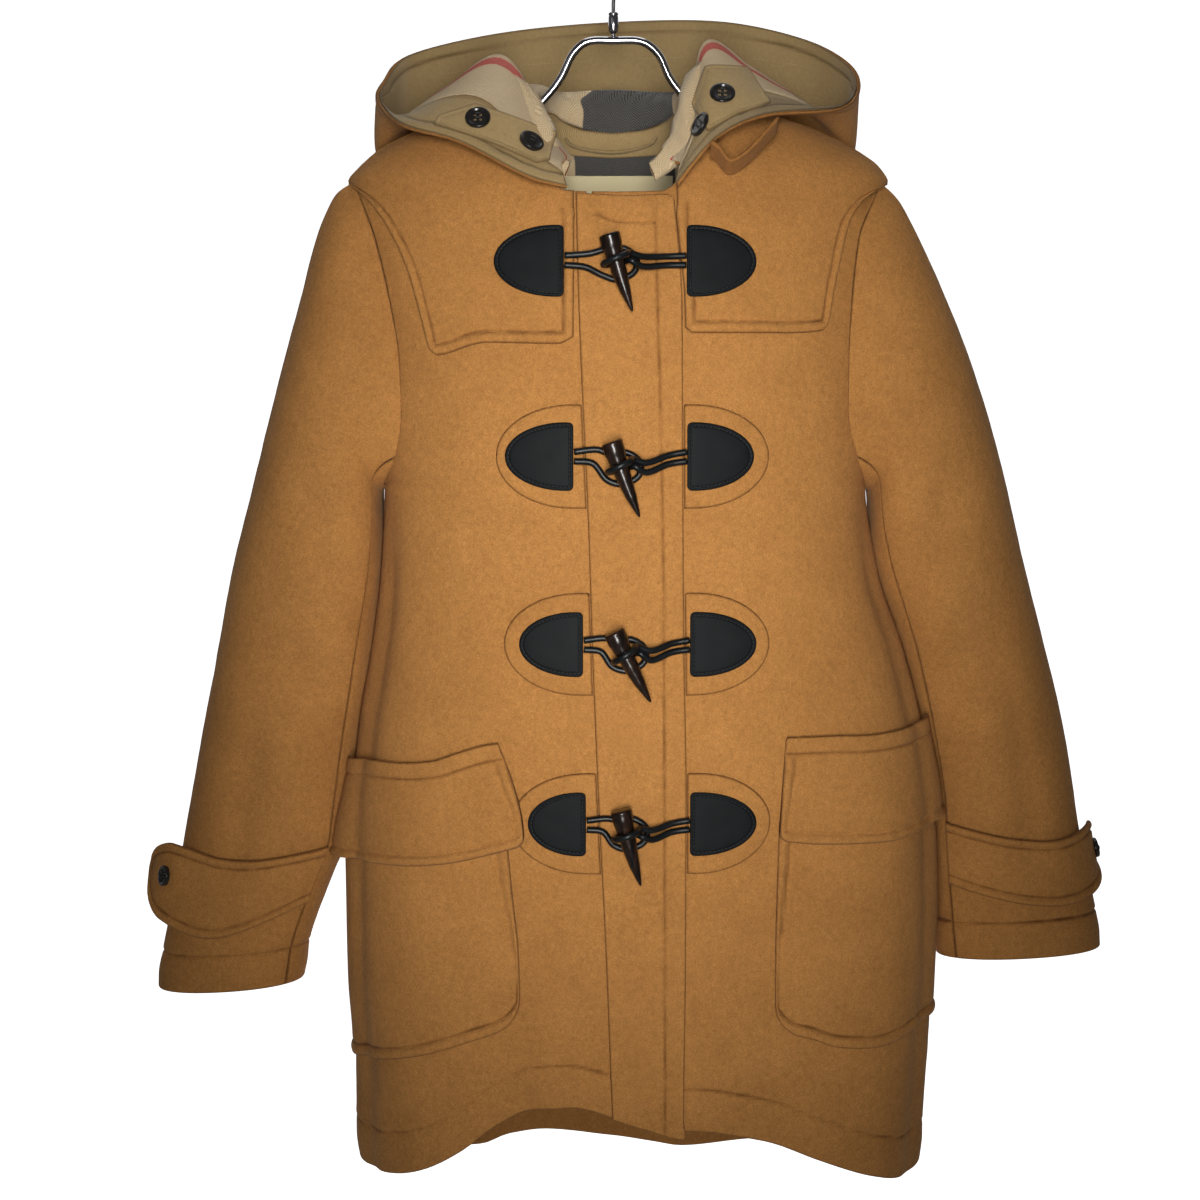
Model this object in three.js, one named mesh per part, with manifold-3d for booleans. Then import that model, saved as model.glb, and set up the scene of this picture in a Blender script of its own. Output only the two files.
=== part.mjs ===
// A duffle coat hanging open-necked on a wire hanger. Millimetres, +Z up, the coat's front faces -Y.
// The origin is the inside top of the hanger's hook. "Right" and "left" are the wearer's, so right is -X.
import * as THREE from 'three';
import { mergeVertices } from 'three/addons/utils/BufferGeometryUtils.js';
import Module from 'manifold-3d';

// Driving dimensions
const WOOL = 3.0;            // melton with its lining fused to it
const YOKE = 2.6;            // second layer on the shoulders
const TWILL = 1.2;           // khaki cotton facing and inner linings
const LEATHER = 1.8;
const SEAM = 0.3;            // clear gap between two pieces at a seam
const ROUND = 2.5;           // squareness of the body's horizontal section
const ARMPIT_Z = -430;
const HANG_DROP = 96;        // hook's inner top down to the middle of the hanger bar
const ROD = 3.0;             // radius of the hanger's arms
const RIGHT = -1;
const LEFT = 1;

// Colours
const finish = {
  wool: { color: 0xb07a42, roughness: 0.95, metalness: 0 },
  twill: { color: 0xb59d66, roughness: 0.85, metalness: 0 },
  lining: { color: 0xcbb488, roughness: 0.9, metalness: 0 },
  leather: { color: 0x15171a, roughness: 0.45, metalness: 0 },
  horn: { color: 0x1d1410, roughness: 0.3, metalness: 0 },
  button: { color: 0x141414, roughness: 0.35, metalness: 0 },
  label: { color: 0xe0d3a8, roughness: 0.8, metalness: 0 },
  chrome: { color: 0xd8dadc, roughness: 0.12, metalness: 1 },
};

const coat = new THREE.Group();

function addMesh(name, geometry, look) {
  const mesh = new THREE.Mesh(geometry, new THREE.MeshStandardMaterial(look));
  mesh.name = name;
  coat.add(mesh);
  return mesh;
}

const lerp = THREE.MathUtils.lerp;
const clamp = THREE.MathUtils.clamp;
const smooth = (x, from, to) => THREE.MathUtils.smoothstep(x, from, to);
const bump = (x, width) => Math.exp(-(x * x) / (width * width));
const vec = (x, y, z) => new THREE.Vector3(x, y, z);

// Smooth reading of one column of a table whose first column rises or falls steadily
function read(table, column, key) {
  const rows = table.rows;
  const c = table.columns.indexOf(column);
  const rising = rows[rows.length - 1][0] > rows[0][0];
  let i = 0;
  while (i < rows.length - 2 && (rising ? key > rows[i + 1][0] : key < rows[i + 1][0])) i += 1;
  const slope = (a, b) => (rows[b][c] - rows[a][c]) / (rows[b][0] - rows[a][0]);
  const span = rows[i + 1][0] - rows[i][0];
  const t = clamp((key - rows[i][0]) / span, 0, 1);
  const chord = slope(i, i + 1);
  const before = i > 0 ? slope(i - 1, i) : chord;
  const after = i < rows.length - 2 ? slope(i + 1, i + 2) : chord;
  const m0 = before * chord <= 0 ? 0 : (2 * before * chord) / (before + chord);
  const m1 = after * chord <= 0 ? 0 : (2 * after * chord) / (after + chord);
  const t2 = t * t;
  const t3 = t2 * t;
  return (2 * t3 - 3 * t2 + 1) * rows[i][c] + (t3 - 2 * t2 + t) * span * m0
    + (3 * t2 - 2 * t3) * rows[i + 1][c] + (t3 - t2) * span * m1;
}

// Body: horizontal sections, from the neck down to the hem
const BODY = {
  columns: ['z', 'rightHalf', 'leftHalf', 'front', 'back'],
  rows: [
    [-140, 62, 64, 9, 42],
    [-145, 80, 84, 16, 50],
    [-152, 104, 110, 23, 57],
    [-160, 129, 134, 29, 62],
    [-170, 154, 160, 37, 66],
    [-182, 177, 184, 46, 70],
    [-193, 190, 199, 54, 73],
    [-204, 199, 206, 60, 75],
    [-225, 200, 208, 69, 77],
    [-250, 194, 206, 75, 79],
    [-293, 188, 201, 81, 81],
    [-337, 183, 198, 86, 82],
    [-374, 180, 196, 89, 82],
    [-430, 177, 195, 92, 82],
    [-500, 180, 206, 94, 82],
    [-560, 188, 226, 96, 83],
    [-620, 199, 241, 97, 85],
    [-700, 205, 249, 98, 88],
    [-850, 204, 250.5, 99, 92],
    [-925, 204, 246.5, 98, 94],
    [-1000, 197, 242, 96, 95],
  ],
};

// Soft folds that hang in the body: where round the body, how wide and deep, and where they begin and fade
const BODY_FOLDS = [
  // angle, width, depth, top, bottom
  { angle: 204, width: 7, depth: -5, top: -420, bottom: -640 },
  { angle: 228, width: 10, depth: 4, top: -520, bottom: -960 },
  { angle: 247, width: 7, depth: -5, top: -700, bottom: -1000 },
  { angle: 258, width: 6, depth: 5, top: -780, bottom: -1000 },
  { angle: 300, width: 9, depth: -5, top: -620, bottom: -1000 },
  { angle: 318, width: 9, depth: 5, top: -480, bottom: -1000 },
  { angle: 338, width: 6, depth: -4, top: -420, bottom: -620 },
  { angle: 38, width: 9, depth: -6, top: -420, bottom: -1000 },
  { angle: 62, width: 10, depth: 5, top: -520, bottom: -1000 },
  { angle: 92, width: 10, depth: -7, top: -480, bottom: -1000 },
  { angle: 122, width: 10, depth: 5, top: -560, bottom: -1000 },
  { angle: 146, width: 9, depth: -6, top: -420, bottom: -1000 },
];

const DEG = Math.PI / 180;

function foldDepth(angle, z) {
  let sum = 0;
  for (const fold of BODY_FOLDS) {
    const grow = smooth(-z, -fold.top, (-fold.top - fold.bottom) / 2);
    sum += fold.depth * grow * bump(angle / DEG - fold.angle, fold.width);
  }
  return sum;
}

// A point of the body's outer surface. Angle 0 is the left side, 90 the middle of the back,
// 180 the right side and 270 the middle of the front, in radians
function body(angle, z) {
  const c = Math.cos(angle);
  const s = Math.sin(angle);
  const half = read(BODY, c >= 0 ? 'leftHalf' : 'rightHalf', z);
  const depth = read(BODY, s >= 0 ? 'back' : 'front', z);
  const g = (Math.abs(c) ** ROUND + Math.abs(s) ** ROUND) ** (-1 / ROUND);
  const grow = 1 + foldDepth(angle, z) / Math.hypot(half * c * g, depth * s * g);
  return vec(half * c * g * grow, depth * s * g * grow, z);
}

// The angle at which the front (or the back) passes through x at height z
function angleAt(x, z, back = false) {
  const half = read(BODY, x >= 0 ? 'leftHalf' : 'rightHalf', z);
  const q = Math.min(Math.abs(x) / half, 1);
  const r = (1 - q ** ROUND) ** (1 / ROUND);
  const turn = Math.atan2(r, q);
  if (back) return x >= 0 ? turn : Math.PI - turn;
  return x >= 0 ? 2 * Math.PI - turn : Math.PI + turn;
}

const frontPoint = (x, z) => body(angleAt(x, z), z);

// A closed slab on a surface: the surface's points moved out by inner and outer.
// normalAt may give the direction to move in
function slab(surface, cols, rows, inner, outer, normalAt = null) {
  const us = typeof cols === 'number' ? Array.from({ length: cols + 1 }, (_, i) => i / cols) : cols;
  const vs = typeof rows === 'number' ? Array.from({ length: rows + 1 }, (_, j) => j / rows) : rows;
  const step = 1e-3;
  const normal = (u, v) => {
    if (normalAt) return normalAt(u, v);
    const du = surface(Math.min(u + step, 1), v).sub(surface(Math.max(u - step, 0), v));
    const dv = surface(u, Math.min(v + step, 1)).sub(surface(u, Math.max(v - step, 0)));
    return du.cross(dv).normalize();
  };
  const nu = us.length;
  const nv = vs.length;
  const position = [];
  const reach = (value, u, v) => (typeof value === 'function' ? value(u, v) : value);
  for (const which of [outer, inner]) {
    for (const v of vs) {
      for (const u of us) {
        const p = surface(u, v).addScaledVector(normal(u, v), reach(which, u, v));
        position.push(p.x, p.y, p.z);
      }
    }
  }
  const index = [];
  const at = (side, i, j) => side * nu * nv + j * nu + i;
  const quad = (a, b, c, d) => index.push(a, b, c, a, c, d);
  for (let j = 0; j < nv - 1; j += 1) {
    for (let i = 0; i < nu - 1; i += 1) {
      quad(at(0, i, j), at(0, i + 1, j), at(0, i + 1, j + 1), at(0, i, j + 1));
      quad(at(1, i, j), at(1, i, j + 1), at(1, i + 1, j + 1), at(1, i + 1, j));
    }
  }
  for (let i = 0; i < nu - 1; i += 1) {
    quad(at(0, i, 0), at(1, i, 0), at(1, i + 1, 0), at(0, i + 1, 0));
    quad(at(0, i + 1, nv - 1), at(1, i + 1, nv - 1), at(1, i, nv - 1), at(0, i, nv - 1));
  }
  for (let j = 0; j < nv - 1; j += 1) {
    quad(at(0, 0, j + 1), at(1, 0, j + 1), at(1, 0, j), at(0, 0, j));
    quad(at(0, nu - 1, j), at(1, nu - 1, j), at(1, nu - 1, j + 1), at(0, nu - 1, j + 1));
  }
  const geometry = new THREE.BufferGeometry();
  geometry.setAttribute('position', new THREE.Float32BufferAttribute(position, 3));
  geometry.setIndex(index);
  return geometry;
}

// Armholes, necklines and hems
const ARMHOLE = {
  columns: ['z', 'rightFront', 'leftFront', 'rightBack', 'leftBack'],
  rows: [
    [-200, 198, 204, 198, 204],
    [-215, 191, 197, 193, 199],
    [-247, 179, 184, 183, 189],
    [-293, 168, 179, 172, 181],
    [-337, 161, 177, 163, 176],
    [-374, 160, 177, 160, 175],
    [-405, 164, 184, 162, 180],
    [-425, 172, 192, 171, 191],
    [-432, 177, 195, 177, 195],
  ],
};
const TIP_Z = -203;

// How far from the side (0) towards the middle (90 degrees) the armhole cuts in
function armCut(side, back, z) {
  if (z > TIP_Z || z < ARMPIT_Z) return 0;
  const column = (side === RIGHT ? 'right' : 'left') + (back ? 'Back' : 'Front');
  const half = read(BODY, side === RIGHT ? 'rightHalf' : 'leftHalf', z);
  const q = Math.min(read(ARMHOLE, column, z) / half, 1);
  return Math.atan2((1 - q ** ROUND) ** (1 / ROUND), q);
}

const NECK = {
  columns: ['turn', 'frontZ', 'backZ'],
  rows: [
    [0, -140, -140],
    [35, -145, -141],
    [55, -156, -144],
    [66, -172, -149],
    [74, -192, -154],
    [80, -213, -157],
    [100, -214, -161],
  ],
};
const neckZ = (turn, back) => read(NECK, back ? 'backZ' : 'frontZ', Math.min(turn, Math.PI - turn) / DEG);

const HEM = {
  columns: ['x', 'front', 'back'],
  rows: [
    [-208, -962, -966],
    [-190, -966, -975],
    [-165, -961, -986],
    [-140, -952, -992],
    [-111, -935, -993],
    [-86, -915, -985],
    [-55, -899, -981],
    [-31, -897, -982],
    [0, -906, -985],
    [35, -917, -992],
    [58, -917, -996],
    [111, -927, -990],
    [155, -945, -984],
    [199, -962, -978],
    [230, -971, -974],
    [250, -965, -968],
  ],
};

const PLACKET = {
  columns: ['z', 'rightEdge', 'leftEdge'],
  rows: [
    [-216, -28, 44],
    [-294, -26, 50],
    [-367, -23, 50.5],
    [-454, -19, 51],
    [-550, -16, 52],
    [-662, -11.5, 54],
    [-776, -6, 54],
    [-906, -1, 53],
    [-925, 0, 56],
  ],
};

// One column or row of the body's panels: z runs from the hem to the neckline
const PANEL_ROWS = [
  0, 0.06, 0.14, 0.24, 0.34, 0.44, 0.53, 0.60, 0.65,
  0.70, 0.76, 0.82, 0.87, 0.905, 0.93, 0.952, 0.975, 1,
];
const HEM_REST = -850;     // above this the rows are level
const NECK_REST = -235;    // below this the rows are level
const TOP_Z = -140;
const LOW_Z = -1000;
const levelOf = (v) => lerp(LOW_Z, TOP_Z, v);

function panelZ(turn, x, v, back) {
  const level = levelOf(v);
  if (level > NECK_REST) {
    const t = (level - NECK_REST) / (TOP_Z - NECK_REST);
    return lerp(NECK_REST, neckZ(turn, back), t);
  }
  if (level < HEM_REST) {
    const t = (HEM_REST - level) / (HEM_REST - LOW_Z);
    return lerp(HEM_REST, read(HEM, back ? 'back' : 'front', x), t);
  }
  return level;
}

// Front panel of one side: u runs from the side seam to its front edge
function frontPanel(side, insideEdge) {
  const gap = SEAM / 2;
  return (u, v) => {
    const level = levelOf(v);
    const half = read(BODY, side === RIGHT ? 'rightHalf' : 'leftHalf', level);
    const depth = read(BODY, 'front', level);
    const start = armCut(side, false, level) + gap / Math.min(depth, half);
    const edge = insideEdge(level);
    const angle = angleAt(edge, Math.min(level, -200));
    const stop = side === RIGHT ? angle - Math.PI : 2 * Math.PI - angle;
    const turn = lerp(start, stop, u);
    const way = side === RIGHT ? Math.PI + turn : 2 * Math.PI - turn;
    const x = body(way, level).x;
    return body(way, panelZ(turn, x, v, false));
  };
}

const rightEdge = (z) => read(PLACKET, 'rightEdge', z) + 8;
const leftEdge = (z) => read(PLACKET, 'rightEdge', z) + 12;
const FRONT_COLS = [0, 0.08, 0.18, 0.3, 0.42, 0.54, 0.66, 0.78, 0.89, 1];

const rightFront = frontPanel(RIGHT, rightEdge);
const leftFrontRaw = frontPanel(LEFT, leftEdge);
const leftFront = (u, v) => leftFrontRaw(1 - u, v);
addMesh('front_right', slab(rightFront, FRONT_COLS, PANEL_ROWS, -WOOL, 0), finish.wool);
const LEFT_COLS = FRONT_COLS.map((u) => 1 - u).reverse();
addMesh('front_left', slab(leftFront, LEFT_COLS, PANEL_ROWS, -WOOL, 0), finish.wool);

// Back panel: u runs from the left side round to the right
function backPanel(gap) {
  return (u, v) => {
    const level = levelOf(v);
    const depth = read(BODY, 'back', level);
    const from = armCut(LEFT, true, level) + gap / depth;
    const to = Math.PI - armCut(RIGHT, true, level) - gap / depth;
    const turn = lerp(from, to, u);
    const x = body(turn, level).x;
    return body(turn, panelZ(turn, x, v, true));
  };
}
const BACK_COLS = [0, 0.05, 0.12, 0.21, 0.31, 0.41, 0.5, 0.59, 0.69, 0.79, 0.88, 0.95, 1];
const backSurface = backPanel(SEAM / 2);
addMesh('back', slab(backSurface, BACK_COLS, PANEL_ROWS, -WOOL, 0), finish.wool);

// Cutting and joining of closed meshes
const wasm = await Module();
wasm.setup();

function toSolid(geometry) {
  const bare = geometry.clone();
  bare.deleteAttribute('normal');
  bare.deleteAttribute('uv');
  const merged = mergeVertices(bare, 1e-4);
  const vertProperties = new Float32Array(merged.attributes.position.array);
  const triVerts = new Uint32Array(merged.index.array);
  return new wasm.Manifold(new wasm.Mesh({ numProp: 3, vertProperties, triVerts }));
}

function toGeometry(solid) {
  const mesh = solid.getMesh();
  const geometry = new THREE.BufferGeometry();
  geometry.setAttribute('position', new THREE.BufferAttribute(mesh.vertProperties, 3));
  geometry.setIndex(new THREE.BufferAttribute(mesh.triVerts, 1));
  return geometry;
}

// An outline drawn in front view, x across and z up, run through the coat's front or back half
function prism(shape, back = false, middle = 12, curveSegments = 5) {
  const deep = 160;
  const geometry = new THREE.ExtrudeGeometry(shape, { depth: deep, bevelEnabled: false, curveSegments });
  geometry.rotateX(Math.PI / 2);
  geometry.translate(0, back ? deep - middle : middle, 0);
  return toSolid(geometry);
}

const largest = (solid) => solid.decompose().sort((a, b) => b.volume() - a.volume())[0];

const outline = (points) => new THREE.Shape(points.map(([x, z]) => new THREE.Vector2(x, z)));

// The columns of both fronts as one grid, so that what lies on them follows their faces
const frontColumns = [
  ...FRONT_COLS.map((u) => (v) => rightFront(u, v)),
  ...FRONT_COLS.map((u) => (v) => leftFront(1 - u, v)).reverse(),
];
const wholeFront = (u, v) => {
  const k = u * (frontColumns.length - 1);
  const i = Math.min(Math.floor(k), frontColumns.length - 2);
  return frontColumns[i](v).lerp(frontColumns[i + 1](v), k - i);
};

const RIGHT_SPAN = [0, FRONT_COLS.length - 1];
const LEFT_SPAN = [FRONT_COLS.length, 2 * FRONT_COLS.length - 1];
const PLACKET_SPAN = [FRONT_COLS.length - 3, FRONT_COLS.length + 4];

// A layer over part of the fronts, from one height over the cloth to another
function frontLayer([first, last], from, to, rows = PANEL_ROWS) {
  const cols = [];
  for (let k = first; k <= last; k += 1) cols.push(k / (frontColumns.length - 1));
  const normal = (u, v) => {
    const p = wholeFront(u, v);
    const angle = angleAt(p.x, p.z);
    const step = 0.03;
    const round = body(angle + step, p.z).sub(body(angle - step, p.z));
    const up = body(angle, p.z + 3).sub(body(angle, p.z - 3));
    return round.cross(up).normalize();
  };
  return toSolid(slab(wholeFront, cols, rows, from, to, normal));
}

const onFront = (shape, span, from, to, behind = 12) => (
  toGeometry(frontLayer(span, from, to).intersect(prism(shape, false, behind))));

// Yokes: a second layer on the shoulders, front and back
const YOKE_OUT = SEAM + YOKE;
const rightYoke = outline([
  [-29, -100], [-29.5, -318], [-33, -324], [-40, -326], [-84, -325], [-128, -334], [-134, -332],
  [-137, -326], [-144, -299], [-154, -266], [-167, -240], [-180, -221], [-196, -198], [-196, -100],
]);
const leftYoke = outline([
  [45.5, -100], [45.5, -222], [51.5, -294], [52, -314], [56, -318], [108, -318], [151, -317], [157, -315],
  [159, -308], [163, -285], [168, -262], [179, -218], [198, -196], [198, -100],
]);
const YOKE_ROWS = [...PANEL_ROWS.slice(0, -1), 0.992];
const yoke = (shape, span) => (
  toGeometry(frontLayer(span, SEAM, YOKE_OUT, YOKE_ROWS).intersect(prism(shape))));
addMesh('yoke_right', yoke(rightYoke, RIGHT_SPAN), finish.wool);
addMesh('yoke_left', yoke(leftYoke, LEFT_SPAN), finish.wool);
const backYoke = outline([
  [-196, -100], [-196, -199], [-176, -240], [-164, -285], [-155, -316], [-140, -319], [0, -309],
  [150, -319], [166, -316], [173, -285], [183, -240], [199, -197], [199, -100],
]);
const backLayer = toSolid(slab(backSurface, BACK_COLS, YOKE_ROWS, SEAM, YOKE_OUT));
addMesh('yoke_back', toGeometry(backLayer.intersect(prism(backYoke, true))), finish.wool);

// Fly placket down the front
const PLACKET_TOP = -217;
const placketOuter = SEAM + WOOL;
const levels = PLACKET.rows.map((row) => row[0]);
const placketShape = outline([
  ...levels.slice(1, -1).reverse().map((z) => [read(PLACKET, 'rightEdge', z), z]),
  [-28, PLACKET_TOP + 1], [10, PLACKET_TOP - 1], [37, PLACKET_TOP], [43, PLACKET_TOP - 4],
  ...levels.slice(1, -1).map((z) => [read(PLACKET, 'leftEdge', z), z]),
  [54, -919], [50, -922], [25, -915], [-1, -906],
]);
addMesh('placket', onFront(placketShape, PLACKET_SPAN, SEAM, placketOuter), finish.wool);

// Patch pockets and their flaps
const POCKET = 2.6;
const FLAP_IN = SEAM + POCKET + SEAM;
const FLAP_OUT = FLAP_IN + POCKET;
const FLAP_END = -14;       // the flaps stop this far in front of the side seams

function pocketShape(innerX, topX, lowX, top, low, sideLow, sideX) {
  const round = 16;
  const shape = new THREE.Shape();
  shape.moveTo(sideX, top);
  shape.lineTo(topX, top);
  shape.lineTo(innerX, lerp(top, low, 0.6));
  shape.lineTo(lowX, low + round);
  shape.quadraticCurveTo(lowX, low, lowX + Math.sign(sideX) * round, low - 2);
  shape.quadraticCurveTo(lerp(lowX, sideX, 0.55), sideLow - 3, sideX, sideLow);
  return shape;
}

function flapShape(points, side) {
  const shape = outline(points.map(([x, z]) => [side * x, z]));
  return shape;
}

const RIGHT_FLAP = [
  [84, -622], [106, -628], [130, -635], [155, -638], [178, -639], [300, -652],
  [300, -732], [196, -721], [181, -718], [155, -716], [126, -712], [92, -703], [72, -696],
  [66, -692], [65, -686], [67, -677], [74, -649],
];
const LEFT_FLAP = [
  [127, -616], [160, -616], [192, -617], [216, -616], [300, -611],
  [300, -690], [240, -692], [224, -696], [201, -699], [160, -698], [131, -694], [125, -691], [123, -685],
];
addMesh('pocket_right', onFront(pocketShape(-72, -79, -72, -690, -841, -878, -300), RIGHT_SPAN,
  SEAM, SEAM + POCKET), finish.wool);
addMesh('pocket_left', onFront(pocketShape(124, 124, 126, -680, -844, -856, 300), LEFT_SPAN,
  SEAM, SEAM + POCKET), finish.wool);
const rightFlap = flapShape(RIGHT_FLAP, RIGHT);
const leftFlap = flapShape(LEFT_FLAP, LEFT);
addMesh('flap_right', onFront(rightFlap, RIGHT_SPAN, FLAP_IN, FLAP_OUT, FLAP_END), finish.wool);
addMesh('flap_left', onFront(leftFlap, LEFT_SPAN, FLAP_IN, FLAP_OUT, FLAP_END), finish.wool);

// Four fastenings: where each stands on the front, and how its horn leans
const TOGGLE = {
  columns: ['row', 'patchRight', 'longRight', 'patchLeft', 'longLeft', 'low', 'high', 'x', 'z', 'lean'],
  rows: [
    [1, -36.5, 51, 53, 51, -292, -240, 2, -268, 16.5],
    [2, -29.5, 50, 53.5, 49, -433, -383, 5, -416, 20],
    [3, -22.5, 47, 56, 49, -570, -522, 9, -553, 27],
    [4, -20.5, 43, 56.5, 50, -704, -656, 10, -686, 14],
  ],
};
const BACKING = { wide: 63, tall: 76, thick: 1.7 };
const BACKED_FROM = 2;     // the first fastening lies on the yokes and has no wool patch under it

// A letter D with its flat side at flatX
function dShape(flatX, side, long, low, high, flatLow = flatX) {
  const shape = new THREE.Shape();
  const straight = 0.12;
  const middle = (low + high) / 2;
  const tall = (high - low) / 2;
  const from = flatX + side * long * straight;
  shape.moveTo(flatLow, low);
  shape.lineTo(from, low);
  shape.absellipse(from, middle, long * (1 - straight), tall, -Math.PI / 2, Math.PI / 2, side < 0, 0);
  shape.lineTo(flatX, high);
  return shape;
}

const CORD = 2.1;          // radius of the leather cords
const HORN_HEIGHT = 16.4;  // middle of a horn over the front
const HORN = {
  columns: ['along', 'radius'],
  rows: [[-20, 7.2], [-19, 8], [-12, 7.6], [0, 6], [12, 5.4], [24, 3.8], [34, 1.9], [38, 0.6]],
};

// A point over the front at x, z, at a height above the cloth
function over(x, z, height) {
  const p = frontPoint(x, z);
  const angle = angleAt(x, z);
  const step = 0.05;
  const round = body(angle + step, z).sub(body(angle - step, z));
  const up = body(angle, z + 6).sub(body(angle, z - 6));
  return p.addScaledVector(round.cross(up).normalize(), height);
}

function cord(points, steps, sides = 5) {
  const section = new THREE.Shape();
  for (let k = 0; k < sides; k += 1) {
    const turn = (2 * Math.PI * k) / sides;
    if (k === 0) section.moveTo(CORD * Math.cos(turn), CORD * Math.sin(turn));
    else section.lineTo(CORD * Math.cos(turn), CORD * Math.sin(turn));
  }
  const path = new THREE.CatmullRomCurve3(points, false, 'centripetal');
  return new THREE.ExtrudeGeometry(section, { steps, bevelEnabled: false, extrudePath: path });
}

const cell = (table, name, i) => table.rows[i][table.columns.indexOf(name)];

function addToggle(i) {
  const get = (name) => cell(TOGGLE, name, i);
  const row = get('row');
  const low = get('low');
  const high = get('high');
  const x = get('x');
  const z = get('z');
  const backed = row >= BACKED_FROM;
  const middle = (low + high) / 2;
  const bed = backed ? SEAM + BACKING.thick + SEAM : YOKE_OUT + SEAM;
  for (const side of [RIGHT, LEFT]) {
    const word = side === RIGHT ? 'right' : 'left';
    const span = side === RIGHT ? RIGHT_SPAN : LEFT_SPAN;
    const flat = side === RIGHT ? get('patchRight') : get('patchLeft');
    if (backed) {
      const column = side === RIGHT ? 'rightEdge' : 'leftEdge';
      const [bottom, top] = [middle - BACKING.tall / 2, middle + BACKING.tall / 2];
      const edgeAt = (z) => read(PLACKET, column, z) + side * 0.6;
      const shape = dShape(edgeAt(top), side, BACKING.wide, bottom, top, edgeAt(bottom));
      addMesh(`wool_patch_${row}_${word}`, onFront(shape, span, SEAM, SEAM + BACKING.thick), finish.wool);
    }
    const long = side === RIGHT ? get('longRight') : get('longLeft');
    const leather = dShape(flat, side, long, low, high);
    addMesh(`leather_patch_${row}_${word}`, onFront(leather, span, bed, bed + LEATHER), finish.leather);
  }
  // The loop from the right patch runs round under the horn and back, its two strands this far apart
  const strand = 3.4;
  const clear = 0.2;
  const height = SEAM + WOOL + SEAM + CORD + clear;
  const start = get('patchRight') + 2 * SEAM;
  const loop = [
    over(start, middle + strand, height), over(lerp(start, x, 0.5), middle + 5, height),
    over(x - 8, z + 10, height), over(x + 4, z + 11, height), over(x + 14, z + 4, height),
    over(x + 13, z - 6, height), over(x + 1, z - 12, height), over(x - 10, z - 9, height),
    over(lerp(start, x, 0.4), middle - 5, height), over(start, middle - strand, height),
  ];
  addMesh(`loop_cord_${row}`, cord(loop, 16), finish.leather);
  // The horn, its head up to the right of the wearer
  const lean = get('lean') * DEG;
  const axis = vec(Math.sin(lean), 0, -Math.cos(lean));
  const across = vec(Math.cos(lean), 0, Math.sin(lean));
  const heart = over(x, z, HORN_HEIGHT);
  const profile = [new THREE.Vector2(0, -20)];
  for (const [along, radius] of HORN.rows) profile.push(new THREE.Vector2(radius, along));
  profile.push(new THREE.Vector2(0, 38.6));
  const horn = addMesh(`horn_${row}`, new THREE.LatheGeometry(profile, 8), finish.horn);
  horn.quaternion.setFromUnitVectors(vec(0, 1, 0), axis);
  horn.position.copy(heart);
  // The cord from the left patch turns once round the horn's waist and goes back
  const slack = 1.3;
  const halfPitch = 2.9;
  const reach = cell(HORN, 'radius', 3) + CORD + slack;
  const ring = [];
  const turns = 8;
  for (let k = 0; k <= turns; k += 1) {
    const turn = (2 * Math.PI * k) / turns;
    const p = heart.clone().addScaledVector(across, reach * Math.cos(turn));
    p.addScaledVector(axis, lerp(-halfPitch, halfPitch, k / turns));
    p.y -= reach * Math.sin(turn);
    ring.push(p);
  }
  const end = get('patchLeft') - 2 * SEAM;
  const lift = HORN_HEIGHT - 3.5;
  const path = [
    over(end, middle + strand, height), over(lerp(x, end, 0.72), lerp(z, middle, 0.7) + 3.2, height + 1),
    over(x + 18, z + 3.5, lift), ...ring, over(x + 18, z - 3.5, lift),
    over(lerp(x, end, 0.72), lerp(z, middle, 0.7) - 3.2, height + 1), over(end, middle - strand, height),
  ];
  addMesh(`ring_cord_${row}`, cord(path, 20), finish.leather);
}
TOGGLE.rows.forEach((_, i) => addToggle(i));

// Sleeves: sections from the armhole to the cuff, by their outer and inner edges and their depth
const SLEEVE_RIGHT = {
  columns: ['s', 'outX', 'outZ', 'inX', 'inZ', 'midY', 'deep'],
  rows: [
    [0, -200, -203, -178, -432, 0, 50],
    [0.05, -214, -212, -182, -439, 0, 54],
    [0.1, -227, -238, -182, -452, 1, 57],
    [0.18, -241, -291, -181.5, -476, 3, 59],
    [0.28, -258, -352, -183, -508, 5, 60],
    [0.4, -279, -430, -188, -545, 8, 59],
    [0.52, -299, -508, -195.5, -590, 11, 56],
    [0.65, -317, -598, -204.5, -650, 13, 52],
    [0.78, -334, -683, -208.5, -708, 13, 47],
    [0.87, -345, -739, -223, -745, 12, 42],
    [0.95, -358, -804, -242, -797, 10, 38],
    [1, -362, -833, -247, -826, 9, 36],
  ],
};
const SLEEVE_LEFT = {
  columns: ['s', 'outX', 'outZ', 'inX', 'inZ', 'midY', 'deep'],
  rows: [
    [0, 207, -203, 196, -432, 0, 50],
    [0.05, 221, -216, 201, -438, 1, 54],
    [0.1, 236, -243, 203, -451, 2, 57],
    [0.18, 257, -291, 204, -476, 5, 59],
    [0.28, 281, -352, 209, -505, 9, 60],
    [0.4, 305, -430, 220.5, -540, 15, 59],
    [0.52, 326, -508, 234, -582, 21, 56],
    [0.65, 351, -598, 245.5, -635, 27, 52],
    [0.78, 368, -676, 251, -690, 31, 47],
    [0.87, 378, -728, 254, -736, 32, 42],
    [0.95, 389, -776, 258, -786, 31, 38],
    [1, 393, -805, 261, -812, 30, 36],
  ],
};

const SLEEVE_ROUND = 2.15;
const SLEEVE_GAP = 2.1;       // from the armhole's edge to the sleeve's
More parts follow.
